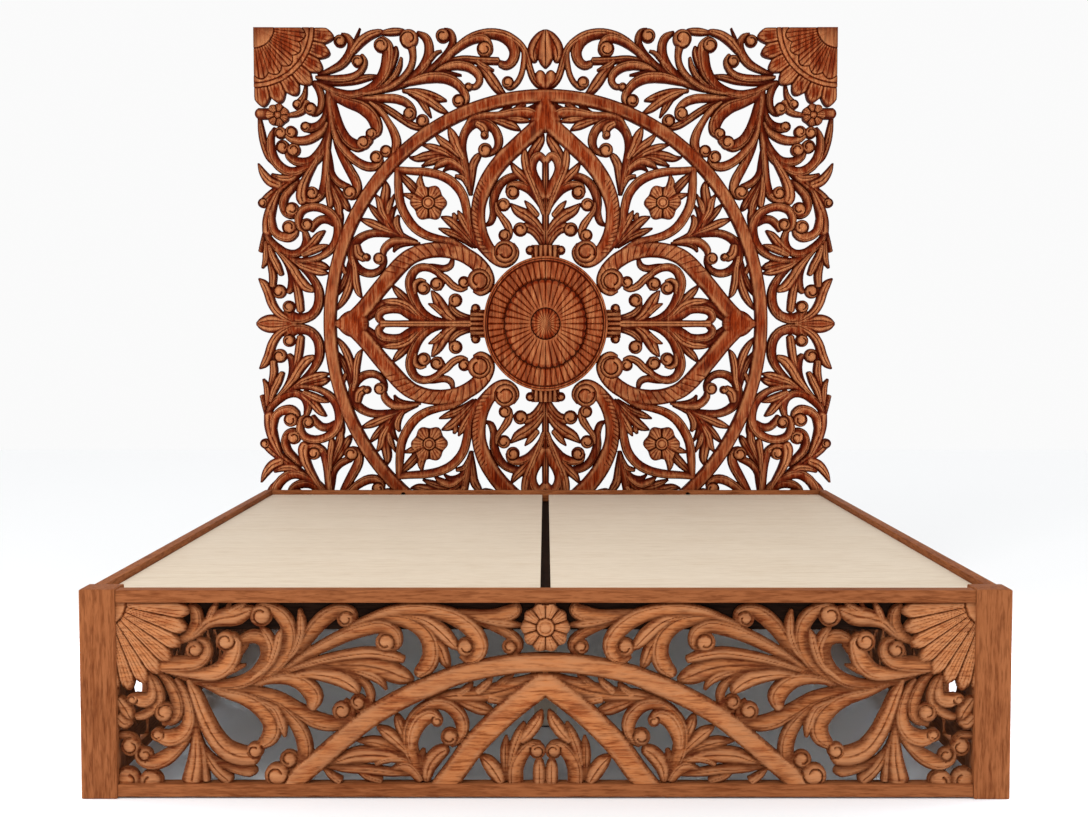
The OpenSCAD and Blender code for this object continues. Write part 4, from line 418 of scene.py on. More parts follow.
def smooth_line(points):
    """Rows of across, up and width, about a STEP apart on a smooth curve through a stroke's points."""
    p = np.array(points, float)
    p = np.vstack([2 * p[0] - p[1], p, 2 * p[-1] - p[-2]])
    rows = []
    for a, b, c, d in zip(p[:-3], p[1:-2], p[2:-1], p[3:]):
        n = max(1, round(math.dist(b[:2], c[:2]) / STEP))
        t = np.arange(n)[:, None] / n
        rows.append(0.5 * (2 * b + (c - a) * t + (2 * a - 5 * b + 4 * c - d) * t**2
                           + (3 * b - a - 3 * c + d) * t**3))
    rows.append(p[-2:-1])
    line = np.vstack(rows)
    line[:, 2] = np.maximum(line[:, 2], THINNEST)
    return line


def turning(line):
    """Whole angle the stroke turns through, in radians, positive to the left."""
    d = np.diff(line[:, :2], axis=0)
    heading = np.unwrap(np.arctan2(d[:, 1], d[:, 0]))
    return heading[-1] - heading[0]


def place_in_stroke(line, px, pz):
    """For grid nodes: distance inside the stroke's edge, place across it, distance along it, its width."""
    inside = np.full(px.shape, OUTSIDE * 10)
    across = np.zeros(px.shape)
    along = np.zeros(px.shape)
    width = np.full(px.shape, THINNEST)
    done = 0.0
    for k, (a, b) in enumerate(zip(line, line[1:])):
        size = math.dist(a[:2], b[:2])
        if size < 1e-6:
            continue
        ux, uz = (b[:2] - a[:2]) / size
        t = (px - a[0]) * ux + (pz - a[1]) * uz
        side = (pz - a[1]) * ux - (px - a[0]) * uz
        beyond = t - np.clip(t, 0, size)
        if k == 0:
            beyond = np.where(beyond < 0, beyond * END_CAP, beyond)
        if k == len(line) - 2:
            beyond = np.where(beyond > 0, beyond * END_CAP, beyond)
        w = a[2] + (b[2] - a[2]) * np.clip(t / size, 0, 1)
        dist = np.hypot(side, beyond)
        here = w / 2 - dist > inside
        inside = np.where(here, w / 2 - dist, inside)
        across = np.where(here, np.sign(side) * dist / (w / 2), across)
        along = np.where(here, done + t, along)
        width = np.where(here, w, width)
        done += size
    return inside, across, along, width


def blur(a, r):
    """Box blur of radius r cells, twice, by running sums."""
    for _ in range(2):
        for axis in (0, 1):
            pad = [(r + 1, r) if k == axis else (0, 0) for k in (0, 1)]
            c = np.cumsum(np.pad(a, pad, mode="edge"), axis=axis)
            hi = np.take(c, range(2 * r + 1, c.shape[axis]), axis=axis)
            lo = np.take(c, range(0, c.shape[axis] - 2 * r - 1), axis=axis)
            a = (hi - lo) / (2 * r + 1)
    return a


def crease(turns, sharp):
    """0 on the bottom of a narrow crease and 1 between creases, with one crease a turn."""
    off = np.abs((turns + 0.5) % 1 - 0.5)
    return 1 - np.exp(-((off / sharp) ** 2))


def groove(off, depth):
    """How deep a round groove is at a distance off its middle."""
    return depth * np.exp(-((off / GROOVE) ** 2))


class Relief:
    """Height map of half or a quarter of a carved plate: edge is the distance inside the wood in mm,
    height the carved surface's height in mm above the plate's back."""

    def __init__(self, width, low, high, mirror_up):
        self.x = np.arange(0, width + CELL / 2, CELL)
        self.z = np.arange(low, high + CELL / 2, CELL)
        self.edge = np.full((len(self.x), len(self.z)), OUTSIDE)
        self.height = np.zeros_like(self.edge)
        self.mirror_up = mirror_up
        self.lines = []   # every stroke's centre line, once from each end

    def window(self, x0, x1, z0, z1):
        """The grid nodes in a box, with their coordinates."""
        i = np.searchsorted(self.x, [x0, x1])
        j = np.searchsorted(self.z, [z0, z1])
        box = (slice(i[0], i[1]), slice(j[0], j[1]))
        px, pz = np.meshgrid(self.x[box[0]], self.z[box[1]], indexing="ij")
        return box, px, pz

    def round_windows(self, x, z, r):
        """The grid nodes round a centre, and round its mirror image if it is near the middle line, with
        their offsets across and up from the centre."""
        reach = r + ROOM
        for sx in ((1, -1) if x < r + NEAR else (1,)):
            box, px, pz = self.window(sx * x - reach, sx * x + reach, z - reach, z + reach)
            yield box, (px - sx * x) * sx, pz - z

    def add(self, box, edge, height):
        """Adds a shape: the wood is the union, and the higher surface shows."""
        self.edge[box] = np.maximum(self.edge[box], edge + FUSE)
        self.height[box] = np.where(edge + FUSE > 0, np.maximum(self.height[box], height), self.height[box])

    def stroke(self, points, base, rise, profile=None, hatch=None):
        """Carves one stroke and, where it comes near a middle line, its mirror image too."""
        line = smooth_line(points)
        turn = turning(line)
        self.lines += [line[:, :2], line[::-1, :2]]
        wide = line[:, 2].max()
        if profile is None:
            profile = DOME if wide < THIN_STROKE else SCROLL if abs(turn) > CURLED else LEAF
        reach = wide / 2 + 3 * CELL
        near_x = line[:, 0].min() < reach
        near_z = self.mirror_up and line[:, 1].min() < reach
        for sx in ((1, -1) if near_x else (1,)):
            for sz in ((1, -1) if near_z else (1,)):
                flipped = line * [sx, sz, 1]
                low, high = flipped.min(0) - reach, flipped.max(0) + reach
                box, px, pz = self.window(low[0], high[0], low[1], high[1])
                if not px.size:
                    continue
                inside, across, along, width = place_in_stroke(flipped, px, pz)
                outer = across * (-1 if turn * sx * sz > 0 else 1)
                lift = rise * np.minimum(1, width / FULL_WIDTH) ** 0.7
                h = base + lift * np.interp(outer, *profile)
                if hatch:
                    from_up, to_up, pitch, from_across = hatch
                    cut = 1 - crease((along + 16 * outer) / pitch, GROOVE / pitch)
                    there = (outer > from_across) & (outer < 0.9) & (pz > from_up) & (pz < to_up)
                    h = h - HATCH_DEPTH * cut * there
                self.add(box, inside, h)

    def scroll_end(self, x, z, r, drop):
        """Carves the round end of a scroll: the nearest stroke winds round a low dome and tapers out."""
        line = min(self.lines, key=lambda e: math.hypot(e[-1][0] - x, e[-1][1] - z))
        back = len(line) - 2
        while back > 0 and math.hypot(line[back][0] - x, line[back][1] - z) < r:
            back -= 1
        (jx, jz), (nx, nz) = line[back], line[back + 1]
        hand = math.copysign(1, (nx - jx) * (z - jz) - (nz - jz) * (x - jx))
        start = math.atan2(jz - z, jx - x)
        for box, dx, dz in self.round_windows(x, z, r):
            d = np.hypot(dx, dz) / r
            turn = hand * (np.arctan2(dz, dx) - start) / (2 * math.pi) % 1
            old = self.height[box]
            top = np.clip(old[d < 1.1].max(initial=0) + 0.1 * drop, 2.6 * drop, 3.35 * drop)
            winding = (0.5 + 0.3 * turn) if r > VOLUTE else (0.48 + 0.52 * turn)
            band = top - 2.2 * drop * np.clip(d - 0.72, 0, 1)
            dome = top + 0.1 * drop - 0.8 * drop * (1 - np.sqrt(np.clip(1 - (d / winding) ** 2.4, 0, 1)))
            reach = r * (1 - d) + FUSE
            outside = np.where(reach > 0, np.maximum(old, band), old)
            h = np.where(d < 1, np.where(d < winding, dome, band), outside)
            h = h - 0.6 * drop * np.exp(-(((d - winding) * r / 2) ** 2)) * np.minimum(1, 0.3 + 2 * turn)
            self.edge[box] = np.maximum(self.edge[box], reach)
            self.height[box] = np.where(self.edge[box] > 0, h, 0)

    def fan(self, cx, cz, size, petals, tall, top, ringed):
        """Carves a quarter fan round a corner: a hub, scalloped petals and, if ringed, two rings round a
        fluted inner fan."""
        box, px, pz = self.window(cx - size * 1.2, cx + 1, cz - size * 1.2, cz + 1)
        dx, dz = cx - px, (cz - pz) / tall
        r = np.hypot(dx, dz)
        a = np.arctan2(dz, dx) / (math.pi / 2)
        rim = size * (0.9 + 0.1 * np.abs(np.sin(petals * a * math.pi)))
        h = top - 7 + 4 * crease(petals * a, 0.07) + 1.8 * crease(4 * petals * a, 0.13)
        h = h - 5 * np.clip(1 - (rim - r) / 10, 0, 1)
        if ringed:
            scallop = size * (0.6 + 0.06 * np.abs(np.sin(5 * a * math.pi)))
            h = np.where(r < size * 0.76, top - 1, h)
            for ring in (0.7, 0.76):
                h = h - groove(r - ring * size, 5)
            h = np.where(r < scallop, top - 4 + 3 * crease(15 * a, 0.12), h) - groove(r - scallop, 5)
        hub = size * 0.26
        h = np.where(r < hub, top, h) - groove(r - hub, 5)
        self.add(box, np.minimum(rim - r, np.minimum(dx, dz * tall) + 1), h)

    def flower(self, x, z, r, petals, base, rise, button=0.34, wave=0.08):
        """Carves a flower of cupped petals with a round button in the middle."""
        for box, dx, dz in self.round_windows(x, z, r):
            d = np.hypot(dx, dz) / r
            a = np.arctan2(dz, dx) / (2 * math.pi)
            rim = 1 - wave + wave * np.cos(2 * math.pi * petals * a)
            petal = 0.35 + 0.55 * crease(petals * a + 0.5, 0.12) - 0.2 * (1 - crease(4 * petals * a, 0.2))
            h = base + rise * (petal - 0.3 * np.clip(1 - d, 0, 1) - 0.45 * np.clip(d - 0.85, 0, 1))
            dome = 0.55 + 0.45 * np.sqrt(np.clip(1 - (d / button) ** 2, 0, 1))
            dome = dome - 0.35 * np.exp(-(((d / button - 0.62) / 0.14) ** 2))
            h = np.where(d < button, base + rise * dome, h) - groove((d - button) * r, 0.5 * rise)
            self.add(box, (rim - d) * r, h)

    def stain_shade_wear_highlight(self):
        """Two maps of 0 to 1: dark stain and painted shade in the hollows, on the lower levels and along the
        edges, and wear and painted highlight on the ridges.
        """
        mask = (self.edge > 0).astype(float)
        top = self.height.max()
        dark, light = 0, 0
        # Stain and painted shade where the surface lies below its neighbourhood, painted highlight where it
        # stands above it, at two sizes
        for r, sink, lift in ((2, 15, 15), (7, 9, 5)):
            level = blur(self.height * mask, r) / np.maximum(blur(mask, r), 1e-3)
            dark = dark + np.clip(sink * (level - self.height) / top, 0, 1)
            light = light + np.clip(lift * (self.height - level) / top, 0, 1)
        # Stain and painted shade, darker the lower the surface lies in the plate
        low = np.clip(1.1 - 1.35 * self.height / top, 0, 1)
        # Stain and painted shade along the edges of the wood
        rim = np.exp(-np.clip(self.edge, 0, None) / 6)
        stain_and_shade = np.clip(0.75 * dark + low + rim, 0, 1) * mask + (1 - mask)
        # The light map is wear and painted highlight on the ridges, kept off the edges
        return stain_and_shade, np.clip(2.6 * light - 0.7 - 0.7 * rim, 0, 1) * mask


# ---- The carved plates ----

HEAD_DEPTH = 38.0
HEAD_HALF = 1065               # half width of the headboard's grid
HEAD_UP = 1080                 # height of its grid above the medallion's centre
RING = (789.5, 827.5, 808)     # the great ring's middle line: across, up and mean radius
RING_WIDTH = 45
MEDALLION = (226, 245, 235)    # plate behind the medallion: across, up and mean radius
COLLAR_FLUTE = 17              # pitch of the collars' flutes
FOOT_DRAWN_FROM = 15           # lower edge of the foot panel's strokes
LAYER = 8                      # height between the lowest and the highest stroke of a list
SCROLL_DROP = 11               # height that the round ends of scrolls are scaled by
# Start height and rise of the strokes
FOLIAGE_HEIGHTS = (16, 11)
ARCH_HEIGHTS = (27, 9)         # and of the great ring
FRAME_HEIGHTS = (25, 9)
TIP_HEIGHTS = (26.5, 9)
COLLAR_HEIGHTS = (28, 8)
BUD_HEIGHTS = (19, 12)
BUD_MIDDLE_HEIGHTS = (24, 12)
HEART_HEIGHTS = (22, 12)
STUB_HEIGHTS = (22, 8)
FOOT_FOLIAGE_HEIGHTS = (15, 12)
FOOT_ARCH_HEIGHTS = (27, 10)
# Slanted cuts on the upright and the lying arch: from and to this far up, pitch, and from where across
HATCHES = ((250, 520, 15, 0.05), (185, 300, 26, -0.8))


def layered(k, base, rise):
    """Start height and rise of the k-th stroke of a list, so that neighbours overlap in steps."""
    return base + LAYER * ((2 * k) % 5) / 4, rise


def off_oval(px, pz, across, up, mean):
    """Distance outside an oval round the medallion's centre."""
    return (np.hypot(px / across, pz / up) - 1) * mean


def head_relief():
    """One quarter of the headboard, from the medallion's centre out."""
    r = Relief(HEAD_HALF, 0, HEAD_UP, True)
    lists = (HEAD_CORNER_SCROLLS, HEAD_SIDE_FOLIAGE, HEAD_RING_SPRAYS, HEAD_ARCH_TREES, HEAD_FRAME_LEAVES)
    for strokes in lists:
        for k, points in enumerate(strokes):
            r.stroke(points, *layered(k, *FOLIAGE_HEIGHTS))
    for points, hatch in zip(HEAD_ARCHES, HATCHES):
        r.stroke(points, *ARCH_HEIGHTS, BAND, hatch)
    for points in HEAD_FRAME:
        r.stroke(points, *FRAME_HEIGHTS, SCROLL)
    for points in HEAD_TIPS:
        r.stroke(points, *TIP_HEIGHTS, BAND)
    for x, z, size in HEAD_BALLS + HEAD_VOLUTES:
        r.scroll_end(x, z, size, SCROLL_DROP)
    # Ring round the whole pattern
    box, px, pz = r.window(0, 820, 0, 860)
    off = off_oval(px, pz, *RING)
    base, rise = ARCH_HEIGHTS
    r.add(box, RING_WIDTH / 2 - np.abs(off), base + rise * np.interp(off / (RING_WIDTH / 2), *BAND))
    # Plate behind the medallion
    box, px, pz = r.window(0, 240, 0, 260)
    r.add(box, -off_oval(px, pz, *MEDALLION), np.full(px.shape, HEAD_DEPTH - 2))
    # Fluted collars above and beside the medallion
    base, rise = COLLAR_HEIGHTS
    box, px, pz = r.window(0, 60, 225, 300)
    flutes = base + rise * crease(px / COLLAR_FLUTE + 0.5, 0.2)
    r.add(box, np.minimum(50 - px, np.minimum(pz - 230, 286 - pz)), flutes)
    box, px, pz = r.window(210, 290, 0, 60)
    flutes = base + rise * crease(pz / COLLAR_FLUTE + 0.5, 0.2)
    r.add(box, np.minimum(50 - pz, np.minimum(px - 215, 274 - px)), flutes)
    for x, z in ((56, 268), (256, 56)):
        r.scroll_end(x, z, 16, 9)
    r.flower(427, 441, r=66, petals=6, base=23, rise=14)
    r.flower(974, 758, r=41, petals=7, base=23, rise=13, button=0.3, wave=0.05)
    # Bud and heart in the middle of the top edge, and the stub beside the small flower
    bud = [[2, 1060, 14], [20, 1036, 40], [37, 1004, 50], [44, 976, 38], [40, 954, 18]]
    bud_middle = [[0, 1062, 10], [0, 1036, 36], [0, 1000, 52], [0, 965, 52], [0, 930, 8]]
    heart = [[1, 850, 8], [8, 868, 26], [17, 886, 42], [19, 900, 36], [19, 910, 18]]
    r.stroke(bud, *BUD_HEIGHTS, LEAF)
    r.stroke(bud_middle, *BUD_MIDDLE_HEIGHTS, LEAF)
    r.stroke(heart, *HEART_HEIGHTS, DOME)
    r.stroke([[1000, 763, 38], [1044, 763, 38]], *STUB_HEIGHTS, DOME)
    r.fan(1058, 1071, size=290, petals=7, tall=0.98, top=HEAD_DEPTH, ringed=True)
    return r


def foot_relief(half, low, high, depth):
    """Right half of the foot panel; low and high are the lower and upper edge of its opening."""
    r = Relief(half, low, high, False)
    scale = depth / HEAD_DEPTH
    up = low - FOOT_DRAWN_FROM
    for strokes in (FOOT_SCROLLS, FOOT_ARCH_LEAVES):
        for k, points in enumerate(strokes):
            base, rise = layered(k, *FOOT_FOLIAGE_HEIGHTS)
            r.stroke(np.array(points) + [0, up, 0], scale * base, scale * rise)
    base, rise = FOOT_ARCH_HEIGHTS
    for points in FOOT_ARCHES:
        r.stroke(np.array(points) + [0, up, 0], scale * base, scale * rise, BAND)
    for x, z, size in FOOT_BALLS:
        r.scroll_end(x, z + up, size, scale * SCROLL_DROP)
    r.fan(985, 424 + up, size=190, petals=8, tall=1.08, top=depth, ringed=False)
    # Block and rosette in the middle of the top edge
    box, px, pz = r.window(0, 60, high - 60, high)
    r.add(box, 22 - px, np.full(px.shape, scale * 22))
    r.flower(0, high - 57, r=54, petals=10, base=scale * 26, rise=scale * 15, button=0.38, wave=0.045)
    return r


# ---- Meshes from height maps ----

# Stain and painted shade on the plates' plain backs and the feet of their walls
BACK_STAIN_AND_SHADE = 0.85   # on the plates' plain backs


def surface(relief, open_left, open_low):
    """The carved plate as arrays of vertices (across, up, height) and faces, open on chosen middle lines."""
    nz = len(relief.z)
    count = relief.edge.size
    e, h = relief.edge.ravel(), relief.height.ravel()
    x, z = np.repeat(relief.x, nz), np.tile(relief.z, len(relief.x))
    # Two triangles to a cell
    ids = np.arange(count).reshape(relief.edge.shape)
    a, b, c, d = (part.ravel() for part in (ids[:-1, :-1], ids[1:, :-1], ids[1:, 1:], ids[:-1, 1:]))
    tris = np.vstack([np.stack([a, b, c], 1), np.stack([a, c, d], 1)])
    wood = (e > 0)[tris]
    # Whole triangles, and the wooden part of those that the edge crosses; a crossing is stored as its two
    # ends in one negative number
    front = [tris[wood.all(1)]]
    crossings = []
    for k in range(3):
        t, w = np.roll(tris, -k, axis=1), np.roll(wood, -k, axis=1)
        one = t[w[:, 0] & ~w[:, 1] & ~w[:, 2]]
        two = t[w[:, 0] & w[:, 1] & ~w[:, 2]]
        p1, p2 = one[:, 0] * count + one[:, 1], one[:, 0] * count + one[:, 2]
        q1, q2 = two[:, 1] * count + two[:, 2], two[:, 0] * count + two[:, 2]
        crossings += [p1, p2, q1, q2]
        front += [np.stack([one[:, 0], -1 - p1, -1 - p2], 1), np.stack([two[:, 0], two[:, 1], -1 - q1], 1),
                  np.stack([two[:, 0], -1 - q1, -1 - q2], 1)]
    front = np.vstack(front)
    # A vertex where the edge crosses a grid line
    keys = np.unique(np.concatenate(crossings))
    p, q = keys // count, keys % count
    f = np.clip(e[p] / (e[p] - e[q]), 0.05, 0.95)
    cut = front < 0
    front[cut] = count + np.searchsorted(keys, -1 - front[cut])
    x = np.concatenate([x, x[p] + f * (x[q] - x[p])])
    z = np.concatenate([z, z[p] + f * (z[q] - z[p])])
    h = np.concatenate([h, h[p] - 1.0])
    used, front = np.unique(front, return_inverse=True)
    front = front.reshape(-1, 3)
    x, z, h = x[used], z[used], h[used]
    # Walls from the front's open edges down to the flat back
    n = len(used)
    edges = np.vstack([front[:, [0, 1]], front[:, [1, 2]], front[:, [2, 0]]])
    alone = ~np.isin(edges[:, 0] * n + edges[:, 1], edges[:, 1] * n + edges[:, 0])
    seam = np.zeros(len(edges), bool)
    if open_left:
        seam |= (x[edges] < 0.01).all(1)
    if open_low:
        seam |= (z[edges] < relief.z[0] + 0.01).all(1)
    u, v = edges[alone & ~seam].T
    walls = np.stack([v, u, u + n, v + n], 1)
    verts = np.vstack([np.stack([x, z, h], 1), np.stack([x, z, np.zeros(n)], 1)])
    return verts, front.tolist() + (front[:, ::-1] + n).tolist() + walls.tolist()


def new_mesh(name, verts, faces):
    mesh = bpy.data.meshes.new(name)
    mesh.from_pydata([tuple(v) for v in verts], [], faces)
    return mesh


def new_object(name, data):
    obj = bpy.data.objects.new(name, data)
    bpy.context.collection.objects.link(obj)
    return obj


def shaded_object(name, mesh, bm, sharp=40):
    """Writes bm into the mesh and shades it smooth, but for edges sharper than so many degrees."""
    bm.to_mesh(mesh)
    bm.free()
    mesh.shade_smooth()
    mesh.set_sharp_from_angle(angle=math.radians(sharp))
    return new_object(name, mesh)


def paint(mesh, stain_and_shade, wear_and_highlight):
    """Stores every vertex's stain and painted shade, and its wear and painted highlight, for the carved
    wood's material.
    """
    attribute = mesh.color_attributes.new("carve", "FLOAT_COLOR", "POINT")
    colours = np.stack([stain_and_shade, wear_and_highlight, np.zeros(len(stain_and_shade)), np.ones(len(stain_and_shade))], 1)
    attribute.data.foreach_set("color", colours.astype(np.float32).ravel())


def thinned(verts, faces, ratio):
    """The same surface with fewer triangles, as arrays."""
    obj = new_object("thinning", new_mesh("thinning", verts, faces))
    mod = obj.modifiers.new("thin", "DECIMATE")
    mod.ratio = ratio
    mod.use_collapse_triangulate = True
    shape = obj.evaluated_get(bpy.context.evaluated_depsgraph_get()).to_mesh()
    co = np.empty(len(shape.vertices) * 3)
    shape.vertices.foreach_get("co", co)
    polys = [tuple(p.vertices) for p in shape.polygons]
    mesh = obj.data
    bpy.data.objects.remove(obj)
    bpy.data.meshes.remove(mesh)
    return co.reshape(-1, 3), polys


def mirrored(verts, faces, signs):
    """Copies of a part surface, each with its signs (across, up), as one set of arrays."""
    all_verts, all_faces = [], []
    for k, (sx, sz) in enumerate(signs):
        all_verts.append(verts * [sx, sz, 1])
        shift = k * len(verts)
        flip = sx * sz < 0
        all_faces += [tuple(i + shift for i in (reversed(f) if flip else f)) for f in faces]
    return np.vstack(all_verts), all_faces


def carved_piece(name, relief, verts, faces, place):
    """Object from arrays. place turns (across, up, height), in mm, into a point in metres."""
    mesh = new_mesh(name, [place(v) for v in verts], faces)
    stain_and_shade, wear_and_highlight = relief.stain_shade_wear_highlight()
    up = np.abs(verts[:, 1]) if relief.mirror_up else verts[:, 1]
    i = np.clip(np.round(np.abs(verts[:, 0]) / CELL).astype(int), 0, len(relief.x) - 1)
    j = np.clip(np.round((up - relief.z[0]) / CELL).astype(int), 0, len(relief.z) - 1)
    # The back and the feet of the walls take that fixed stain and painted shade, with no wear or painted
    # highlight
    back = verts[:, 2] < 0.5
    paint(mesh, np.where(back, BACK_STAIN_AND_SHADE, stain_and_shade[i, j]), np.where(back, 0.0, wear_and_highlight[i, j]))
    bm = bmesh.new()
    bm.from_mesh(mesh)
    bmesh.ops.remove_doubles(bm, verts=bm.verts, dist=2e-5)
    return shaded_object(name, mesh, bm, 38)


# ---- Materials ----

def linear(r, g, b):
    """Scene-linear colour from display values of 0 to 255."""
    parts = [v / 255 for v in (r, g, b)]
    return tuple(v / 12.92 if v < 0.0404 else ((v + 0.055) / 1.055) ** 2.4 for v in parts) + (1,)


def scaled(colour, by):
    return tuple(by * c for c in colour[:3]) + (1,)


class Nodes:
    """Short calls for building a material's node tree."""

    def __init__(self, name):
        self.material = bpy.data.materials.new(name)
        self.material.use_nodes = True
        self.tree = self.material.node_tree
        self.shader = self.tree.nodes["Principled BSDF"]

    def put(self, socket, value):
        """Links one input to an output, or sets it to a value."""
        if isinstance(value, bpy.types.NodeSocket):
            self.tree.links.new(value, socket)
        else:
            socket.default_value = value

    def add(self, kind, inputs=(), **settings):
        node = self.tree.nodes.new(kind)
        for key, value in settings.items():
            setattr(node, key, value)
        for key, value in dict(inputs).items():
            self.put(node.inputs[key], value)
        return node

    def place(self):
        return self.add("ShaderNodeTexCoord").outputs["Object"]

    def stretched(self, place, scale):
        return self.add("ShaderNodeMapping", {"Vector": place, "Scale": scale}).outputs["Vector"]

    def mix(self, factor, a, b, blend="MIX"):
        node = self.add("ShaderNodeMix", data_type="RGBA", blend_type=blend)
        for index, value in ((0, factor), (6, a), (7, b)):
            self.put(node.inputs[index], value)
        return node.outputs[2]

    def math(self, operation, a, b, c=0.0):
        node = self.add("ShaderNodeMath", operation=operation)
        for socket, value in zip(node.inputs, (a, b, c)):
            self.put(socket, value)
        return node.outputs[0]

    def ramp(self, factor, stops):
        node = self.add("ShaderNodeValToRGB", {"Fac": factor})
        elements = node.color_ramp.elements
        while len(elements) < len(stops):
            elements.new(0.5)
        for element, (place, colour) in zip(elements, stops):
            element.position = place
            element.color = colour
        return node.outputs["Color"]

    def noise(self, vector, scale, detail, rough, distortion=0.0):
        node = self.add("ShaderNodeTexNoise", {"Vector": vector, "Scale": scale, "Detail": detail,
                                               "Roughness": rough, "Distortion": distortion})
        return node.outputs["Fac"]

    def output(self, name, value):
        self.put(self.shader.inputs[name], value)


# Colour of the stain and of the painted shade in the carving's hollows and along its edges
STAIN_AND_SHADE = linear(56, 8, 0)


def wood(name, tones, grain, stain_and_shade=0.0, rough=0.6, figure=0.7):
    """Timber with streaks along one axis, from three tones, light to dark. On carving, the stored channels
    add stain and painted shade in the hollows and along the edges, and wear and painted highlight on the
    ridges."""
    light, mid, dark = tones
    n = Nodes(name)
    place = n.place()
    along = n.stretched(place, [0.1 if axis == grain else 1.0 for axis in "XYZ"])
    streaks = n.noise(along, 110, 5, 0.68, 0.5)
    bands = n.noise(along, 12, 3, 0.5, 1.2)
    pores = n.noise(along, 240, 2, 0.6)
    tone = n.math("ADD", n.math("MULTIPLY", streaks, 0.7), n.math("MULTIPLY", bands, 0.3))
    colour = n.ramp(tone, [(0.38, dark), (0.5, mid), (0.74, light)])
    fine = n.ramp(pores, [(0.36, (0.4, 0.28, 0.2, 1)), (0.52, (1.06, 1.06, 1.06, 1))])
    colour = n.mix(figure, colour, fine, "MULTIPLY")
    cloud = n.ramp(n.noise(place, 3.1, 3, 0.6), [(0.3, (0.84, 0.82, 0.8, 1)), (0.7, (1.08, 1.08, 1.08, 1))])
    colour = n.mix(figure, colour, cloud, "MULTIPLY")
    relief = n.math("ADD", n.math("MULTIPLY", pores, 0.35), n.math("MULTIPLY", streaks, 0.4))
    if stain_and_shade:
        stored = n.add("ShaderNodeVertexColor", layer_name="carve").outputs["Color"]
        parts = n.add("ShaderNodeSeparateColor", {"Color": stored}).outputs
        # Wear and painted highlight: the ridges' light tone, from the stored green channel
        worn_and_highlit = n.math("MULTIPLY", parts["Green"], n.math("MULTIPLY_ADD", streaks, 1.1, 0.05))
        colour = n.mix(worn_and_highlit, colour, scaled(light, 1.12))
        # Stain and painted shade: the dark colour in the hollows and along the edges, from the stored red
        # channel
        patchy = n.math("MULTIPLY_ADD", n.noise(place, 38, 3, 0.6), 0.5 * stain_and_shade, 0.7 * stain_and_shade)
        stained_and_shaded = n.math("MINIMUM", n.math("MULTIPLY", parts["Red"], patchy), 0.96)
        colour = n.mix(stained_and_shaded, colour, STAIN_AND_SHADE)
        rasp = n.noise(place, 90, 3, 0.6)
        relief = n.math("ADD", relief, n.math("MULTIPLY", rasp, 0.9))
    n.output("Base Color", colour)
    n.output("Roughness", n.math("MULTIPLY_ADD", streaks, 0.22, rough - 0.11))
    n.output("Specular IOR Level", 0.04)
    bump = n.add("ShaderNodeBump", {"Strength": 0.5, "Distance": 0.0011, "Height": relief})
    n.output("Normal", bump.outputs["Normal"])
    return n.material


def metal(name, colour, rough):
    n = Nodes(name)
    marks = n.noise(n.stretched(n.place(), (1, 1, 14)), 120, 3, 0.6)
    n.output("Base Color", n.ramp(marks, [(0.3, scaled(colour, 0.82)), (0.7, colour)]))
    n.output("Roughness", n.math("MULTIPLY_ADD", marks, 0.2, rough))
    n.output("Metallic", 1.0)
    return n.material


def plastic(name, colour):
    n = Nodes(name)
    pebble = n.noise(n.place(), 900, 2, 0.5)
    n.output("Base Color", n.ramp(pebble, [(0.3, scaled(colour, 0.7)), (0.7, colour)]))
    n.output("Roughness", n.math("MULTIPLY_ADD", pebble, 0.2, 0.5))
    return n.material


FOOT_TONES = (linear(174, 120, 82), linear(180, 112, 66), linear(138, 70, 34))
RAIL_TONES = (linear(156, 96, 58), linear(141, 83, 48), linear(118, 64, 33))
HEAD_TONES = (linear(182, 120, 76), linear(124, 41, 6), linear(76, 15, 0))
PINE_TONES = (linear(218, 204, 184), linear(212, 197, 177), linear(204, 186, 163))
# Near-black wood, painted shade for the ledgers and the centre beam that lie in shade behind the panels and
# under the deck
DARK_TONES = (linear(48, 30, 20), linear(34, 20, 13), linear(20, 11, 7))
# Strength of the stain and painted shade on the foot panel's and the side panels' carving
FOOT_STAIN_AND_SHADE = 0.76
carved_foot = wood("carved_foot_wood", FOOT_TONES, "X", stain_and_shade=FOOT_STAIN_AND_SHADE)
carved_side = wood("carved_side_wood", FOOT_TONES, "Y", stain_and_shade=FOOT_STAIN_AND_SHADE)
carved_head = wood("carved_head_wood", HEAD_TONES, "Z", stain_and_shade=1.0)
wood_x = wood("rail_wood_across", RAIL_TONES, "X", figure=0.5)
wood_y = wood("rail_wood_along", RAIL_TONES, "Y", figure=0.5)
wood_z = wood("post_wood", RAIL_TONES, "Z", figure=0.5)
pine_x = wood("pine_across", PINE_TONES, "X", rough=0.62, figure=0.1)
pine_y = wood("pine_along", PINE_TONES, "Y", rough=0.62, figure=0.1)
pine_z = wood("pine_upright", PINE_TONES, "Z", rough=0.62, figure=0.1)
dark_x = wood("shade_dark_across", DARK_TONES, "X", rough=0.7)
dark_y = wood("shade_dark_along", DARK_TONES, "Y", rough=0.7)
steel = metal("brushed_steel", linear(176, 178, 182), 0.32)
brass = metal("brass", linear(196, 160, 92), 0.3)
black_plastic = plastic("black_plastic", linear(34, 34, 36))


def finish(obj, material, body, slot, *nodes):
    """Gives a piece its material and body, and hides the CAD nodes it stands for. The slot is not used."""
    obj.data.materials.clear()
    obj.data.materials.append(material)
    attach(obj, body)
    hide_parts(*nodes)


# ---- Carved panels ----

MM = 1000   # millimetres in a metre
SIDES = ((1, "right"), (-1, "left"))
HEAD_KEPT = 0.12   # share of the triangles that thinning keeps
FOOT_KEPT = 0.16

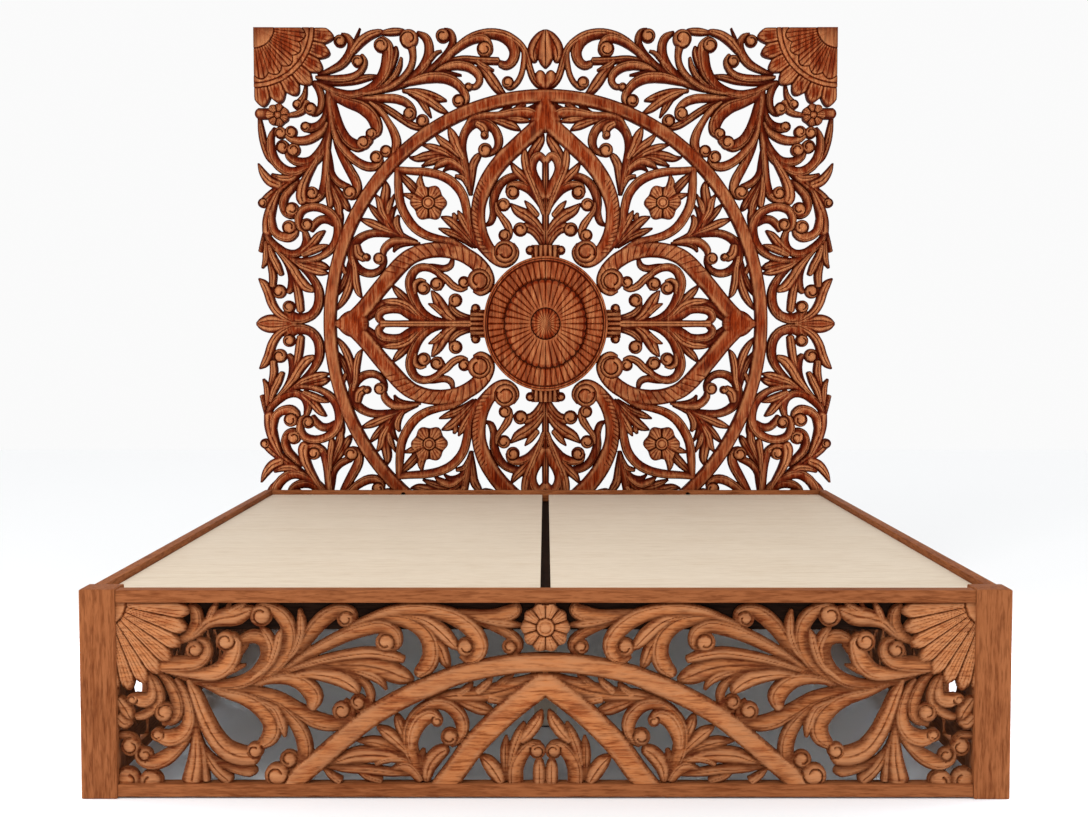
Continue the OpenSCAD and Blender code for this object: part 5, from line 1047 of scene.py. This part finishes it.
head_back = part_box("headboard_right")[1].y
button_low, button_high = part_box("medallion_button")
head_mid = (button_low.z + button_high.z) / 2
post_low, post_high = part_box("foot_post_right")
foot_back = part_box("foot_panel")[1].y
foot_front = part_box("foot_panel")[0].y
rail_low, rail_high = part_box("foot_bottom_rail")
top_low, top_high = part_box("foot_top_rail")
side_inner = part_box("side_panel_right")[0].x
leg_low, leg_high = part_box("head_leg_right")
side_mid = (post_high.y + leg_low.y) / 2
side_stretch = (leg_low.y - post_high.y) / 2 / post_low.x


def head_place(v):
    return v[0] / MM, head_back - v[2] / MM, head_mid + v[1] / MM


def foot_place(v):
    return v[0] / MM, foot_back - v[2] / MM, v[1] / MM


quarter = head_relief()
quarter_verts, quarter_faces = thinned(*surface(quarter, False, True), HEAD_KEPT)
for side, word in SIDES:
    verts, faces = mirrored(quarter_verts, quarter_faces, [(side, 1), (side, -1)])
    half = carved_piece("headboard_carving_" + word, quarter, verts, faces, head_place)
    finish(half, carved_head, "bed", "headboard_wood", "headboard_" + word)

foot = foot_relief(MM * post_low.x, MM * rail_high.z, MM * top_low.z, MM * (foot_back - foot_front))
verts, faces = thinned(*surface(foot, True, False), FOOT_KEPT)
verts, faces = mirrored(verts, faces, [(1, 1), (-1, 1)])
footboard = carved_piece("foot_carving", foot, verts, faces, foot_place)
finish(footboard, carved_foot, "bed", "carved_wood", "foot_panel", "foot_rosette")

# The side panels are the foot panel stretched to the side's length
for side, word in SIDES:
    def side_place(v, side=side):
        return side * (side_inner + v[2] / MM), side_mid + side * v[0] * side_stretch / MM, v[1] / MM

    panel = carved_piece("side_carving_" + word, foot, verts, faces, side_place)
    finish(panel, carved_side, "bed", "carved_wood", "side_panel_" + word)


# ---- Medallion ----

SPOKES = 8   # to a flute


def round_relief(name, rx, rz, front, back, rows, flutes, height, notch):
    """Elliptical disc facing the foot. rows are radii from 0 to 1, height(r, turns) is 0 to 1 from back to
    front at so many flutes' turns round, and notch is how far the rim is cut in at each flute's end."""
    spokes = SPOKES * flutes
    points = [(0.0, back - (back - front) * height(0.0, 0.0), head_mid)]
    for r in rows:
        for k in range(spokes):
            a, turns = 2 * math.pi * k / spokes, k / SPOKES
            reach = r - notch * max(0.0, r - 0.8) * (1 - math.sin(math.pi * (turns % 1)))
            y = back - (back - front) * height(r, turns)
            points.append((rx * reach * math.cos(a), y, head_mid + rz * reach * math.sin(a)))
    points += [(x, back, z) for x, y, z in points[-spokes:]]
    faces = [(0, 1 + k, 1 + (k + 1) % spokes) for k in range(spokes)]
    for ring in range(len(rows)):
        a0 = 1 + ring * spokes
        faces += [(a0 + k, a0 + spokes + k, a0 + spokes + (k + 1) % spokes, a0 + (k + 1) % spokes)
                  for k in range(spokes)]
    faces.append([1 + len(rows) * spokes + k for k in reversed(range(spokes))])
    mesh = new_mesh(name, points, faces)
    level = np.array([(back - y) / (back - front) for x, y, z in points])
    # Stain and painted shade in the low creases, wear and painted highlight on the highest parts
    paint(mesh, np.clip(3 * (0.8 - level), 0, 1), np.clip(4 * (level - 0.86), 0, 1))
    bm = bmesh.new()
    bm.from_mesh(mesh)
    bmesh.ops.recalc_face_normals(bm, faces=bm.faces)
    return shaded_object(name, mesh, bm)


def dish_height(r, turns):
    if 0.665 <= r < 0.93:
        cut = 1 - crease(turns, 0.1)
        return 0.92 - 0.4 * cut - 0.3 * (1 - min(1, (r - 0.665) / 0.03, (0.93 - r) / 0.02))
    for limit, level in ((0.945, 0.5), (0.965, 0.88), (0.975, 0.5)):
        if r < limit:
            return level
    return 0.95 - 3 * max(0, r - 0.985)


def rosette_height(r, turns):
    if r < 0.37:
        return 0.35
    cut = 1 - crease(turns, 0.1)
    return 0.96 - 0.45 * cut * min(1, (r - 0.37) / 0.1) - 0.3 * max(0, r - 0.92) / 0.08


def button_height(r, turns):
    cut = 1 - crease(turns, 0.12)
    return 0.5 + 0.48 * math.sqrt(max(0, 1 - r**3)) - 0.32 * cut * min(1, r / 0.3)


def disc_rows(*marks):
    """Radii up to each mark, from (radius, steps to it) pairs."""
    rows, last = [], 0.0
    for mark, steps in marks:
        rows += [last + (mark - last) * (k + 1) / steps for k in range(steps)]
        last = mark
    return rows


DISH_ROWS = disc_rows((0.62, 2), (0.664, 1), (0.666, 1), (0.7, 3), (0.91, 4), (0.93, 2), (0.944, 1),
                      (0.946, 1), (0.964, 1), (0.966, 1), (0.974, 1), (0.976, 1), (0.985, 1), (1.0, 1))
ROSETTE_ROWS = disc_rows((0.369, 2), (0.371, 1), (0.47, 4), (0.92, 5), (1.0, 3))
BUTTON_ROWS = disc_rows((0.3, 4), (1.0, 10))
DISCS = (
    ("medallion_dish", DISH_ROWS, 56, dish_height, 0.0),
    ("medallion_rosette", ROSETTE_ROWS, 36, rosette_height, 0.2),
    ("medallion_button", BUTTON_ROWS, 24, button_height, 0.2),
)
for node, rows, flutes, height, notch in DISCS:
    low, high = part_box(node)
    disc = round_relief(node + "_carving", high.x, (high.z - low.z) / 2, low.y, high.y,
                        rows, flutes, height, notch)
    finish(disc, carved_head, "bed", "headboard_wood", node)


# ---- Plain timber ----

EASED = 0.0025       # rounding of the edges
POST_EASED = 0.004
DECK_EASED = 0.0015
NOTCH_GAP = 0.002    # between a deck board and the foot post


def board(name, outline, low, high, bevel):
    """Board with the given outline (across, along) from height low to high, with eased edges."""
    bm = bmesh.new()
    face = bm.faces.new([bm.verts.new((x, y, low)) for x, y in outline])
    raised = bmesh.ops.extrude_face_region(bm, geom=[face])["geom"]
    raised = [part for part in raised if isinstance(part, bmesh.types.BMVert)]
    bmesh.ops.translate(bm, verts=raised, vec=(0, 0, high - low))
    bmesh.ops.recalc_face_normals(bm, faces=bm.faces)
    bmesh.ops.bevel(bm, geom=bm.edges[:], offset=bevel, segments=3, profile=0.6, affect="EDGES",
                    clamp_overlap=True)
    return shaded_object(name, bpy.data.meshes.new(name), bm)


def rectangle(x0, x1, y0, y1):
    return [(x0, y0), (x1, y0), (x1, y1), (x0, y1)]


def timber(node, outline, low, high, material, bevel=EASED):
    """Eased board in place of a plain CAD node."""
    finish(board(node + "_timber", outline, low, high, bevel), material, "bed", "carved_wood", node)


side_low, side_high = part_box("side_top_rail_right")
side_bottom_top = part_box("side_bottom_rail_right")[1].z
head_rail_low, head_rail_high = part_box("head_rail")
deck_low, deck_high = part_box("deck_board_right")

foot_outline = rectangle(-post_low.x, post_low.x, rail_low.y, rail_high.y)
timber("foot_top_rail", foot_outline, top_low.z, top_high.z, wood_x)
timber("foot_bottom_rail", foot_outline, rail_low.z, rail_high.z, wood_x)

for side, word in SIDES:
    def outline(x0, x1, y0, y1, side=side):
        return rectangle(min(side * x0, side * x1), max(side * x0, side * x1), y0, y1)

    post = outline(post_low.x, post_high.x, post_low.y, post_high.y)
    timber("foot_post_" + word, post, post_low.z, post_high.z, wood_z, POST_EASED)
    rail = outline(side_low.x, side_high.x, post_high.y, side_high.y)
    timber("side_top_rail_" + word, rail, top_low.z, top_high.z, wood_y)
    rail = outline(side_low.x, side_high.x, post_high.y, leg_low.y)
    timber("side_bottom_rail_" + word, rail, rail_low.z, side_bottom_top, wood_y)
    leg = outline(leg_low.x, leg_high.x, leg_low.y, leg_high.y)
    timber("head_leg_" + word, leg, 0.0, top_low.z, wood_z)
    notch_x, notch_y = post_low.x - NOTCH_GAP, post_high.y + NOTCH_GAP
    corners = [(deck_low.x, deck_low.y), (notch_x, deck_low.y), (notch_x, notch_y), (deck_high.x, notch_y),
               (deck_high.x, deck_high.y), (deck_low.x, deck_high.y)]
    corners = [(side * x, y) for x, y in corners[::side]]
    deck = board("deck_" + word + "_panel", corners, deck_low.z, deck_high.z, DECK_EASED)
    finish(deck, pine_x, "deck_" + word, "pine", "deck_board_" + word)

head_outline = rectangle(head_rail_low.x, head_rail_high.x, head_rail_low.y, head_rail_high.y)
timber("head_rail", head_outline, head_rail_low.z, head_rail_high.z, wood_x)

# The ledgers and the centre beam take the near-black wood as painted shade
CARRIED = {
    dark_x: ("foot_ledger", "head_ledger"),
    dark_y: ("side_ledger_left", "side_ledger_right", "centre_beam"),
    pine_x: ("seam_dowels", "deck_battens_left", "deck_battens_right"),
    pine_y: ("medallion_dowels",),
    pine_z: ("centre_leg_front", "centre_leg_back"),
    steel: ("beam_hangers", "corner_brackets", "bracket_screws", "headboard_bolts"),
    brass: ("headboard_inserts",),
    black_plastic: ("leg_glides",),
}
for material, nodes in CARRIED.items():
    for node in nodes:
        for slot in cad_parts[node].material_slots:
            slot.material = material

# ---- Floor, light and camera ----

FLOOR_HALF = 9.0
SKY = 0.96
CAMERA_BACK = 3.26        # from the front of the foot posts
CAMERA_UP = 1.036
CAMERA_DOWN = 2.826       # degrees below level
CAMERA_LEFT = 0.058       # degrees off the middle line
LENS = 48.94
SENSOR = 36.0

corners = [(x, y, 0) for x, y in rectangle(-FLOOR_HALF, FLOOR_HALF, -FLOOR_HALF, FLOOR_HALF)]
floor = new_object("floor", new_mesh("floor", corners, [(0, 1, 2, 3)]))
pale = Nodes("pale_floor")
pale.output("Base Color", (0.965, 0.975, 0.985, 1))
pale.output("Roughness", 0.9)
floor.data.materials.append(pale.material)

world = bpy.data.worlds.new("studio")
world.use_nodes = True
world.node_tree.nodes["Background"].inputs["Color"].default_value = (1, 1, 1, 1)
world.node_tree.nodes["Background"].inputs["Strength"].default_value = SKY
bpy.context.scene.world = world


def area_light(name, place, target, width, height, power, colour=(1, 1, 1)):
    data = bpy.data.lights.new(name, "AREA")
    data.shape = "RECTANGLE"
    data.size = width
    data.size_y = height
    data.energy = power
    data.color = colour
    lamp = new_object(name, data)
    lamp.location = place
    lamp.rotation_euler = (Vector(target) - Vector(place)).to_track_quat("-Z", "Y").to_euler()


area_light("key", (-2.2, -4.2, 4.2), (0, 0.5, 0.9), 1.6, 1.6, 120)
area_light("fill", (3.4, -3.6, 2.2), (0, 0, 0.8), 2.4, 2.4, 20)
# Low cool lights that reach the floor through the pierced sides
for side, word in SIDES:
    area_light(word + "_wash", (1.95 * side, -0.4, 0.26), (0, -0.4, 0.15), 2.0, 0.4, 36, (0.72, 0.86, 1))

camera = new_object("camera", bpy.data.cameras.new("camera"))
camera.data.sensor_width = SENSOR
camera.data.lens = LENS
camera.location = (0, post_low.y - CAMERA_BACK, CAMERA_UP)
camera.rotation_euler = (math.radians(90 - CAMERA_DOWN), 0, math.radians(CAMERA_LEFT))
bpy.context.scene.camera = camera
bpy.context.scene.view_settings.view_transform = "Standard"
